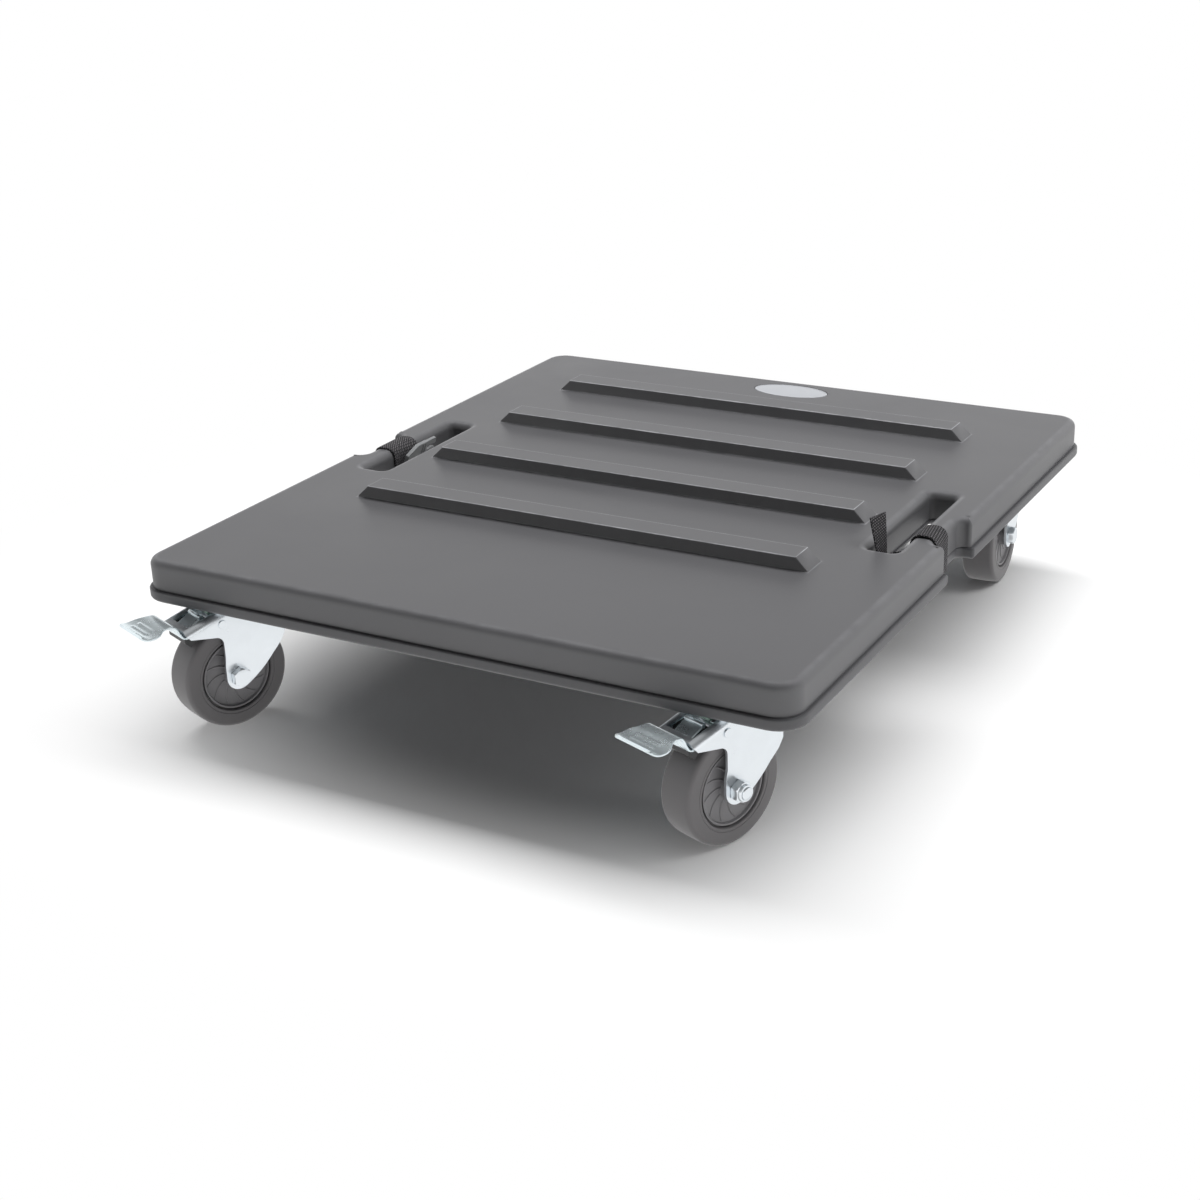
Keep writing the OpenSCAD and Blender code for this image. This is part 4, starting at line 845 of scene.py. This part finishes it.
# Bolt head and lock nut: radius of the trimming circle and distance from the fork's leg, in millimetres
BOLT_HEAD = [(7.6, 0), (7.7, 0.4), (9.3, 0.5), (9.3, 5.3), (8.6, 5.8), (8.0, 6.15), (7.4, 6.4), (4.0, 6.25)]
LOCK_NUT = [(5.1, 0), (7.7, 0), (7.7, 0.4), (9.3, 0.5), (9.3, 6.3), (8.5, 6.9), (7.5, 7.3), (7.3, 8.9)]
LOCK_NUT += [(6.9, 9.7), (6.2, 10.0), (5.6, 9.9), (5.1, 9.4)]


def hexagon(profile, side):
    """Rings of a hexagon along the axle, each trimmed to a circle, so that its corners are chamfered.

    At an angle the radius is the smaller of the circle's and of the flat's distance over the cosine.
    """
    profile = np.asarray(profile) * MM
    angle = np.linspace(0, 2 * math.pi, 72, endpoint=False)
    flat = AXLE_FLATS / 2 / np.cos((angle + math.pi / 6) % (math.pi / 3) - math.pi / 6)
    radius = np.minimum(flat[None], profile[:, :1])
    along = np.broadcast_to(side * (LEG_OUTER + profile[:, 1:]), radius.shape)
    return np.stack([along, radius * np.cos(angle), radius * np.sin(angle)], -1)


class CASTER_PLATFORM_OT_axles(PlatformOperator, bpy.types.Operator):
    """Axle bolts with chamfered heads, and lock nuts with a round collar"""

    bl_idname = "caster_platform.axles"
    bl_label = "Axle bolts and nuts"

    def execute(self, context):
        steel = zinc()
        shank = [(SHANK_R, -LEG_OUTER), (SHANK_R, SHANK_END - 0.5 * MM)]
        shank = np.array([*shank, (SHANK_R - SHANK_CHAMFER, SHANK_END)])
        for name in CASTERS:
            place = Place(name)
            side = NUT_SIDE[name]
            body = name + "_swivel"
            bolt = Shell()
            bolt.grid(place(hexagon(BOLT_HEAD, -side)), caps=True)
            bolt.grid(place(turned(shank * [1, side], 48)), caps=True)
            bolt.dress(name + "_axle_bolt", body, steel)
            nut = Shell()
            nut.grid(place(hexagon(LOCK_NUT, side)), loop_rows=True)
            nut.dress(name + "_axle_nut", body, steel)
        return {"FINISHED"}


# Middle line of the pedal: distance in front of the axle and height above it, in millimetres
PEDAL_LINE = [(25.5, 60.2), (33.5, 55.8), (41.5, 51.6), (46.5, 49.8), (50.1, 53.4), (53.3, 60.0)]
PEDAL_LINE += [(56.7, 63.1), (61.5, 63.9), (67.0, 63.5), (73.0, 61.6), (79.0, 60.9), (84.0, 61.6)]
PEDAL_LINE += [(87.2, 63.1)]

# Half width of the pedal at distances in front of the axle, in millimetres
PEDAL_WIDTHS = [(42, 10.5), (42.05, 18.8), (62.5, 18.8), (66, 19.8), (72, 24.2), (75.5, 25)]

# Where the pedal starts, widens, stops rising and rounds off, the radius of its tip, and where its
# edge thickens, in millimetres
PEDAL_ROOT = 25.5
PEDAL_STEP = 42.0
PEDAL_RISE = 62.5
PEDAL_TIP = 82.2
PEDAL_TIP_R = 5
PEDAL_CURL = 84

# Beads: places in front of the axle, height, width along the pedal and half length, in millimetres
BEADS = (72.5, 79.0)
BEAD_HEIGHT = 0.8
BEAD_WIDTH = 1.5
BEAD_HALF_L = 13.5

# Ears beside the fork's legs, and the sleeve on the pivot pin, in millimetres
EAR = [(12, 58.7), (8.8, 57.4), (7.5, 54.2), (8.8, 51.0), (12, 49.7), (45.5, 48.8), (45.5, 50.8)]
EAR += [(37.5, 53.6)]
EAR_X = (16.8, 18.8)
PIVOT_SLEEVE = [(0.3, -10.5), (2.0, -10.5), (2.2, -10.2), (2.2, 10.2), (2.0, 10.5), (0.3, 10.5)]
PIVOT_SLEEVE_PLACE = np.array([0, -25.5, 60.75])


def section(half_w, half_t, columns):
    """Lateral place and offset of the points round a flat strip whose two edges are half circles.

    The half widths are a column of numbers, one for each row of the strip.
    """
    half_w = np.asarray(half_w, float).reshape(-1, 1)
    half_t = np.broadcast_to(np.asarray(half_t, float).reshape(-1, 1), half_w.shape)
    flat = np.linspace(-1, 1, columns)[None] * (half_w - half_t)
    turn = arc(75, -75, 6)[None]
    edge = half_w - half_t + half_t * np.cos(turn)
    lateral = np.hstack([flat, edge, flat[:, ::-1], -edge])
    top = np.broadcast_to(half_t, flat.shape)
    rise = half_t * np.sin(turn)
    return lateral, np.hstack([top, rise, -top, -rise])


class CASTER_PLATFORM_OT_brakes(PlatformOperator, bpy.types.Operator):
    """Brake pedals, shoes, springs and pins"""

    bl_idname = "caster_platform.brakes"
    bl_label = "Brakes"

    def pedal(self, place, name, body, steel):
        """A pedal: a bent sheet that widens to its tip, with two pressed beads, a sleeve and ears.

        A bead lifts the sheet by a bell curve along the pedal, cut off smoothly at both ends.
        """
        run = np.linspace(PEDAL_ROOT, PEDAL_STEP - 0.1, 14)
        run = np.r_[run, np.linspace(PEDAL_STEP + 0.1, PEDAL_RISE, 50)]
        run = np.r_[run, np.linspace(PEDAL_RISE + 0.2, PEDAL_TIP - 0.2, 96)]
        run = np.r_[run, PEDAL_TIP + PEDAL_TIP_R * np.sin(arc(8, 90, 9))]
        line = np.c_[run, np.interp(run, *smooth_line(PEDAL_LINE, 40).T)]
        past_tip = np.maximum(run - PEDAL_TIP, 0)
        drawn_in = PEDAL_TIP_R - np.sqrt(np.maximum(PEDAL_TIP_R**2 - past_tip**2, 0.01))
        half_w = np.interp(run, *zip(*PEDAL_WIDTHS)) - drawn_in
        half_t = 1 + 0.35 * np.clip((run - PEDAL_CURL) / 2, 0, 1)
        lateral, offset = section(half_w, half_t, 61)
        reach = 0.5 * (1 + np.tanh(BEAD_HALF_L - np.abs(lateral)))
        lift = sum(BEAD_HEIGHT * np.exp(-(((run - bead) / BEAD_WIDTH) ** 2)) for bead in BEADS)
        offset = offset + lift[:, None] * reach
        across = normals_of(line)
        ahead = line[:, :1] + across[:, :1] * offset
        height = line[:, 1:] + across[:, 1:] * offset
        shell = Shell()
        shell.grid(place(np.stack([lateral, -ahead, height], -1) * MM), caps=True)
        shell.grid(place((turned(PIVOT_SLEEVE, 24) + PIVOT_SLEEVE_PLACE) * MM), caps=True)
        ear = np.array(EAR)
        for side in (-1, 1):
            rings = [np.c_[np.full(len(ear), side * x), -ear[:, 0], ear[:, 1]] for x in EAR_X]
            shell.grid(place(np.stack(rings) * MM), caps=True)
        shell.dress(name + "_brake_pedal", body, steel, 50)

    def execute(self, context):
        steel = zinc()
        casters = settings().casters
        black = rubber_of("Brake shoe", casters.shoe_colour, 0.4)
        dull = kept("Pedal plate", lambda n: zinc_plate(n, casters.pedal_colour, 0.28, 0.84))
        spring = kept("Spring steel", lambda n: zinc_plate(n, casters.spring_colour, 0.35))
        for name in BRAKED:
            self.pedal(Place(name), name, name + "_brake", dull)
            softened(name + "_brake_shoe", name + "_brake", black, 0.8 * MM)
            softened(name + "_brake_spring", name + "_swivel", spring, 0.3 * MM)
            softened(name + "_brake_pin", name + "_swivel", steel, 0.5 * MM)
        return {"FINISHED"}


WEBBING_T = 1.7 * MM
STRAP_GAP = 0.3 * MM
TAIL_W = 21.5 * MM
TAIL_Y = -60.45 * MM
TAIL_FOOT_Z = 127 * MM
TAIL_BEND_Z = 152 * MM
TAIL_X = SLOT_X[0] + 8.67 * MM
TAIL_LEAN = 4.5 * MM
TAIL_TURN = math.radians(17)

# Plan of the band between the tail and the right loop, from the middle of the deck, in millimetres
WEB_LINE = [(264.4, -62), (264.6, -51), (268, -44), (275.5, -37), (280.3, -32), (280.3, -24)]
WEB_Z = 136 * MM
WEB_HALF_W = 9.8 * MM

# Fold under the buckle: across the deck and up, in millimetres
SHELF_LINE = [(-280.2, 137.6), (-276, 136.6), (-272, 136.4), (-268.6, 136.9)]
SHELF_Y = -11.5 * MM
SHELF_HALF_W = 8 * MM

# Outlines of the buckle's plate, prongs and ridges, along the deck and up, each with the depths of
# its two faces, in millimetres
BUCKLE_PLATE = [(0, 1), (1, 0), (31, 0), (32, 1), (32, 24), (31, 25), (16.5, 25), (14.5, 24.6)]
BUCKLE_PLATE += [(0.6, 17.2), (0, 16)]
TOP_PRONG = [(30, 18.6), (37, 19.2), (39, 18.4), (47, 18.4), (48, 19.4), (47.6, 23.4), (46, 25), (30, 25)]
MIDDLE_PRONG = [(30, 9.6), (46, 9.6), (47.5, 10.6), (47.5, 13.4), (46, 14.4), (30, 14.4)]
LOW_PRONG = [(30, 0), (46, 0), (48, 1.6), (48, 5.6), (47, 6.4), (39, 6.4), (37, 5.6), (30, 6)]
BUCKLE_SHAPES = [(BUCKLE_PLATE, (0, 4.0))]
BUCKLE_SHAPES += [(prong, (0.6, 3.9)) for prong in (TOP_PRONG, MIDDLE_PRONG, LOW_PRONG)]
BUCKLE_SHAPES += [([(x, 1.5), (x + 1.5, 1.5), (x + 1.5, 23.5), (x, 23.5)], (3.2, 4.5)) for x in (27.5, 23.5)]
BUCKLE_LEAN = math.radians(20)
BUCKLE_FOOT_X = -273.5 * MM
BUCKLE_HEIGHT = 25 * MM


def ribbon(path, across, face, half_w, half_t):
    """Rings of a flat band along a path: the section goes from side to side and through its thickness."""
    lateral, offset = section(np.full(len(path), half_w), half_t, 9)
    return path[:, None] + across[:, None] * lateral[..., None] + face[:, None] * offset[..., None]


class CASTER_PLATFORM_OT_straps(PlatformOperator, bpy.types.Operator):
    """Webbing straps round the side bars, and the buckle half"""

    bl_idname = "caster_platform.straps"
    bl_label = "Straps and buckle"

    def loop(self, shell, side, centre_y, width, lift):
        """Adds a closed band round the bar of one side, which stands off its top by the lift."""
        deck = settings().deck
        slot_x = SLOT_X[1] - STRAP_GAP
        notch_x = NOTCH_X + STRAP_GAP
        top = LOAD_Z + STRAP_GAP + lift
        low = BASE_LOW[2] - STRAP_GAP
        corners = [
            (notch_x, top, deck.edge_radius + STRAP_GAP + lift),
            (slot_x, top, deck.mouth_radius + STRAP_GAP + lift),
            (slot_x, low, 0.5 * MM),
            (notch_x, low, 0.5 * MM),
        ]
        line = outline(corners, -WEBBING_T / 2)
        outward = -normals_of(line, closed=True)
        level = np.full(len(line), centre_y + DECK_Y)
        path = np.c_[side * line[:, 0], level, line[:, 1]]
        face = np.c_[side * outward[:, 0], 0 * level, outward[:, 1]]
        across = np.broadcast_to(np.array([0.0, 1.0, 0.0]), path.shape)
        shell.grid(ribbon(path, across, face, width / 2, WEBBING_T / 2), loop_rows=True)

    def tail(self, shell):
        """Adds the free end: upright in the slot, then leaning inwards and turning about its middle."""
        height = np.linspace(TAIL_FOOT_Z, STRAP_HIGH[2] - 0.1 * MM, 20)
        share = np.clip((height - TAIL_BEND_Z) / (STRAP_HIGH[2] - TAIL_BEND_Z), 0, 1)
        turn = TAIL_TURN * share
        path = np.c_[TAIL_X - TAIL_LEAN * share, np.full(len(share), TAIL_Y + DECK_Y), height]
        across = np.c_[np.sin(turn), np.cos(turn), 0 * turn]
        face = np.c_[np.cos(turn), -np.sin(turn), 0 * turn]
        shell.grid(ribbon(path, across, face, TAIL_W / 2, WEBBING_T / 2), caps=True)

    def web(self, shell):
        """Adds the band low in the slot that joins the tail's foot to the loop, standing on its edge."""
        line = smooth_line(np.array(WEB_LINE) * MM, 5)
        out = normals_of(line)
        path = np.c_[line[:, 0], line[:, 1] + DECK_Y, np.full(len(line), WEB_Z)]
        across = np.broadcast_to(np.array([0.0, 0.0, 1.0]), path.shape)
        face = np.c_[out, np.zeros(len(out))]
        shell.grid(ribbon(path, across, face, WEB_HALF_W, WEBBING_T / 2), caps=True)

    def shelf(self, shell):
        """Adds the fold of webbing that carries the buckle."""
        line = smooth_line(np.array(SHELF_LINE) * MM, 4)
        out = normals_of(line)
        path = np.c_[line[:, 0], np.full(len(line), SHELF_Y + DECK_Y), line[:, 1]]
        across = np.broadcast_to(np.array([0.0, 1.0, 0.0]), path.shape)
        face = np.c_[out[:, 0], np.zeros(len(out)), out[:, 1]]
        shell.grid(ribbon(path, across, face, SHELF_HALF_W, WEBBING_T / 2), caps=True)

    def buckle(self, material):
        """Makes the buckle half: flat prisms with rounded edges, leaning out of the slot."""
        low, high = (np.array(corner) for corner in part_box("left_buckle"))
        along, up = math.cos(BUCKLE_LEAN), math.sin(BUCKLE_LEAN)
        start = np.array([BUCKLE_FOOT_X, low[1], high[2] - BUCKLE_HEIGHT * along])
        shell = Shell()
        for shape, depths in BUCKLE_SHAPES:
            flat = np.array(shape)
            local = np.stack([np.c_[np.full(len(flat), depth), flat] for depth in depths]) * MM
            x = local[..., 0] * along + local[..., 2] * up
            z = local[..., 2] * along - local[..., 0] * up
            shell.grid(start + np.stack([x, local[..., 1], z], -1), caps=True)
        rounded(shell.dress("left_buckle", "deck", material, 50), 0.5 * MM, 2)

    def execute(self, context):
        straps = settings().straps
        # Dark webbing with painted shade between the threads and a painted sheen on their crowns
        dark, sheen_colour = straps.webbing_and_shade_colour, straps.thread_sheen_colour
        twill = kept("Twill webbing", lambda n: woven(n, dark, sheen_colour, (4.2, 1.9), 38))
        basket = kept("Basket webbing", lambda n: woven(n, dark, sheen_colour, (2.8, 2.3), -8))
        grey = kept("Buckle", lambda n: moulded_plastic(n, straps.buckle_colour, 0.4, 0.4, 0.1, 0.02 * MM))
        left = Shell()
        self.loop(left, -1, -1 * MM, 41 * MM, 0.0)
        self.shelf(left)
        left.dress("left_strap", "deck", twill, 50)
        right = Shell()
        self.loop(right, 1, -20 * MM, 29 * MM, 1 * MM)
        self.tail(right)
        self.web(right)
        right.dress("right_strap", "deck", basket, 50)
        self.buckle(grey)
        return {"FINISHED"}


# Stage

CAMERA_TURN = 29.116
CAMERA_RISE = 22.553
CAMERA_ROLL = -1.822
CAMERA_DISTANCE = 1.8454
CAMERA_SLIDE = (3.302 * MM, 100.172 * MM)
CAMERA_LENS_MM = 57.894
CAMERA_SHIFT = (-0.036828, -0.011384)

# The floor fades to white over this range of distance, in a plane shifted and stretched to an oval
FADE_SHIFT = (-0.04, -0.06, 0)
FADE_SCALE = (0.92, 1.12, 1)
FADE_RANGE = (0.37, 0.8)
FLOOR_BOUNCE = 1.2
FLOOR_RINGS = (0.3, 1.0, 3.0, 9.0, 30.0)

# Brightness that mirrors see, from the horizon at 0 to straight above at 1
MIRRORED_SKY = [(0.0, 1.36), (0.3, 1.12), (0.41, 0.44), (0.5, 0.24), (0.75, 0.24), (1.0, 0.48)]


def place_camera():
    """Camera at the photograph's angle, aimed from the middle of the load face and slid in its plane."""
    turn, rise, roll = (math.radians(v) for v in (CAMERA_TURN, CAMERA_RISE, CAMERA_ROLL))
    back = Vector((math.sin(turn) * math.cos(rise), -math.cos(turn) * math.cos(rise), math.sin(rise)))
    level = (-back).cross(Vector((0, 0, 1))).normalized()
    upright = level.cross(-back)
    right = level * math.cos(roll) + upright * math.sin(roll)
    up = upright * math.cos(roll) - level * math.sin(roll)
    eye = back * CAMERA_DISTANCE - right * CAMERA_SLIDE[0] - up * CAMERA_SLIDE[1]
    eye += Vector((0, DECK_Y, LOAD_Z))
    lens = bpy.data.cameras.new("Camera")
    lens.lens = CAMERA_LENS_MM
    lens.sensor_width = 36
    lens.shift_x, lens.shift_y = CAMERA_SHIFT
    lens.clip_end = 60
    camera = bpy.data.objects.new("Camera", lens)
    camera.matrix_world = Matrix.Translation(eye) @ Matrix((right, up, back)).transposed().to_4x4()
    bpy.context.scene.collection.objects.link(camera)
    bpy.context.scene.camera = camera


def make_floor(shade):
    """Wide round floor that turns white away from the object, and is all white in mirrored light."""
    shell = Shell()
    angle = np.linspace(0, 2 * math.pi, 96, endpoint=False)
    radius = np.array(FLOOR_RINGS)[:, None]
    x = radius * np.cos(angle)
    index = shell.grid(np.stack([x, radius * np.sin(angle), 0 * x], -1))
    mesh = bpy.data.meshes.new("floor")
    mesh.from_pydata(shell.points.tolist(), [], shell.faces + [index[0].tolist()])
    floor = bpy.data.objects.new("floor", mesh)
    material, tree, shader, where = new_material("Floor")
    shader.inputs["Base Color"].default_value = (*shade, 1)
    shader.inputs["Roughness"].default_value = 0.9
    shader.inputs["Specular IOR Level"].default_value = 0.0
    oval_map = {"Vector": where.outputs["Object"], "Location": FADE_SHIFT, "Scale": FADE_SCALE}
    from_middle = node(tree, "ShaderNodeMapping", oval_map).outputs[0]
    distance = node(tree, "ShaderNodeVectorMath", {0: from_middle}, operation="LENGTH").outputs["Value"]
    fade = node(
        tree,
        "ShaderNodeMapRange",
        {"Value": distance, "From Min": FADE_RANGE[0], "From Max": FADE_RANGE[1]},
        interpolation_type="SMOOTHSTEP",
    )
    path = node(tree, "ShaderNodeLightPath").outputs
    bounce = scaled(tree, path["Is Diffuse Ray"], FLOOR_BOUNCE, 1.0)
    white = node(tree, "ShaderNodeEmission", {"Strength": bounce})
    share = maths(tree, "MAXIMUM", fade.outputs[0], path["Is Glossy Ray"])
    both = node(tree, "ShaderNodeMixShader", {0: share, 1: shader.outputs[0], 2: white.outputs[0]})
    output = next(n for n in tree.nodes if n.type == "OUTPUT_MATERIAL")
    tree.links.new(both.outputs[0], output.inputs["Surface"])
    mesh.materials.append(material)
    bpy.context.scene.collection.objects.link(floor)


def make_sky(stage):
    """Soft light that gains towards the right and the back.

    Mirrored light sees a bright horizon, and the camera sees white.
    """
    world = bpy.data.worlds.new("Studio")
    bpy.context.scene.world = world
    world.use_nodes = True
    tree = world.node_tree
    tree.nodes.clear()
    where = node(tree, "ShaderNodeTexCoord")
    axes = node(tree, "ShaderNodeSeparateXYZ", {0: where.outputs["Generated"]})
    share = scaled(tree, axes.outputs[0], stage.side_share, stage.all_round)
    share = scaled(tree, axes.outputs[1], stage.back_share, share)
    mirrored = ramp(tree, axes.outputs[2], MIRRORED_SKY)
    path = node(tree, "ShaderNodeLightPath").outputs
    level = mixed(tree, path["Is Glossy Ray"], maths(tree, "MAXIMUM", share, 0.0), mirrored, "FLOAT")
    level = mixed(tree, path["Is Camera Ray"], level, 1.0, "FLOAT")
    sky = node(tree, "ShaderNodeBackground", {"Color": (1, 1, 1, 1), "Strength": level})
    output = node(tree, "ShaderNodeOutputWorld")
    tree.links.new(sky.outputs[0], output.inputs["Surface"])


def add_lamp(name, size, power, place):
    """Rectangular soft lamp that faces the object."""
    data = bpy.data.lights.new(name, "AREA")
    data.shape = "RECTANGLE"
    data.size, data.size_y = size
    data.energy = power
    lamp = bpy.data.objects.new(name, data)
    lamp.location = place
    lamp.visible_glossy = False
    lamp.rotation_euler = Vector(place).to_track_quat("Z", "Y").to_euler()
    bpy.context.scene.collection.objects.link(lamp)


class CASTER_PLATFORM_OT_stage(PlatformOperator, bpy.types.Operator):
    """Camera, floor, sky and lamps"""

    bl_idname = "caster_platform.stage"
    bl_label = "Stage"

    def execute(self, context):
        stage = settings().stage
        place_camera()
        make_floor(stage.floor_colour)
        make_sky(stage)
        add_lamp("Overhead strip", stage.strip_size, stage.strip_power, stage.strip_place)
        add_lamp("Side lamp", stage.side_size, stage.side_power, stage.side_place)
        context.scene.view_settings.view_transform = "Standard"
        return {"FINISHED"}


# Add-on

STEPS = (
    CASTER_PLATFORM_OT_stage,
    CASTER_PLATFORM_OT_deck_top,
    CASTER_PLATFORM_OT_deck_base,
    CASTER_PLATFORM_OT_badge,
    CASTER_PLATFORM_OT_wheels,
    CASTER_PLATFORM_OT_forks,
    CASTER_PLATFORM_OT_axles,
    CASTER_PLATFORM_OT_brakes,
    CASTER_PLATFORM_OT_straps,
)


class PlatformSettings(bpy.types.PropertyGroup):
    """Everything that a user would change."""

    deck: bpy.props.PointerProperty(type=DeckSettings, name="Deck", description="Deck and badge")
    casters: bpy.props.PointerProperty(type=CasterSettings, name="Casters", description="Casters")
    straps: bpy.props.PointerProperty(type=StrapSettings, name="Straps", description="Straps and buckle")
    stage: bpy.props.PointerProperty(type=StageSettings, name="Stage", description="Light and floor")


class CASTER_PLATFORM_PT_panel(bpy.types.Panel):
    """Lists the settings and the pieces"""

    bl_label = "Caster platform"
    bl_space_type = "VIEW_3D"
    bl_region_type = "UI"
    bl_category = "Caster platform"

    def draw(self, context):
        groups = context.scene.caster_platform
        for group in (groups.deck, groups.casters, groups.straps, groups.stage):
            box = self.layout.box()
            for name in group.__annotations__:
                box.prop(group, name)
        for step in STEPS:
            self.layout.operator(step.bl_idname)


CLASSES = (
    DeckSettings,
    CasterSettings,
    StrapSettings,
    StageSettings,
    PlatformSettings,
    *STEPS,
    CASTER_PLATFORM_PT_panel,
)


def register():
    for made in CLASSES:
        bpy.utils.register_class(made)
    bpy.types.Scene.caster_platform = bpy.props.PointerProperty(type=PlatformSettings)


def unregister():
    del bpy.types.Scene.caster_platform
    for made in reversed(CLASSES):
        bpy.utils.unregister_class(made)


def main():
    register()
    for step in STEPS:
        group, name = step.bl_idname.split(".")
        getattr(getattr(bpy.ops, group), name)()


if __name__ == "__main__":
    main()
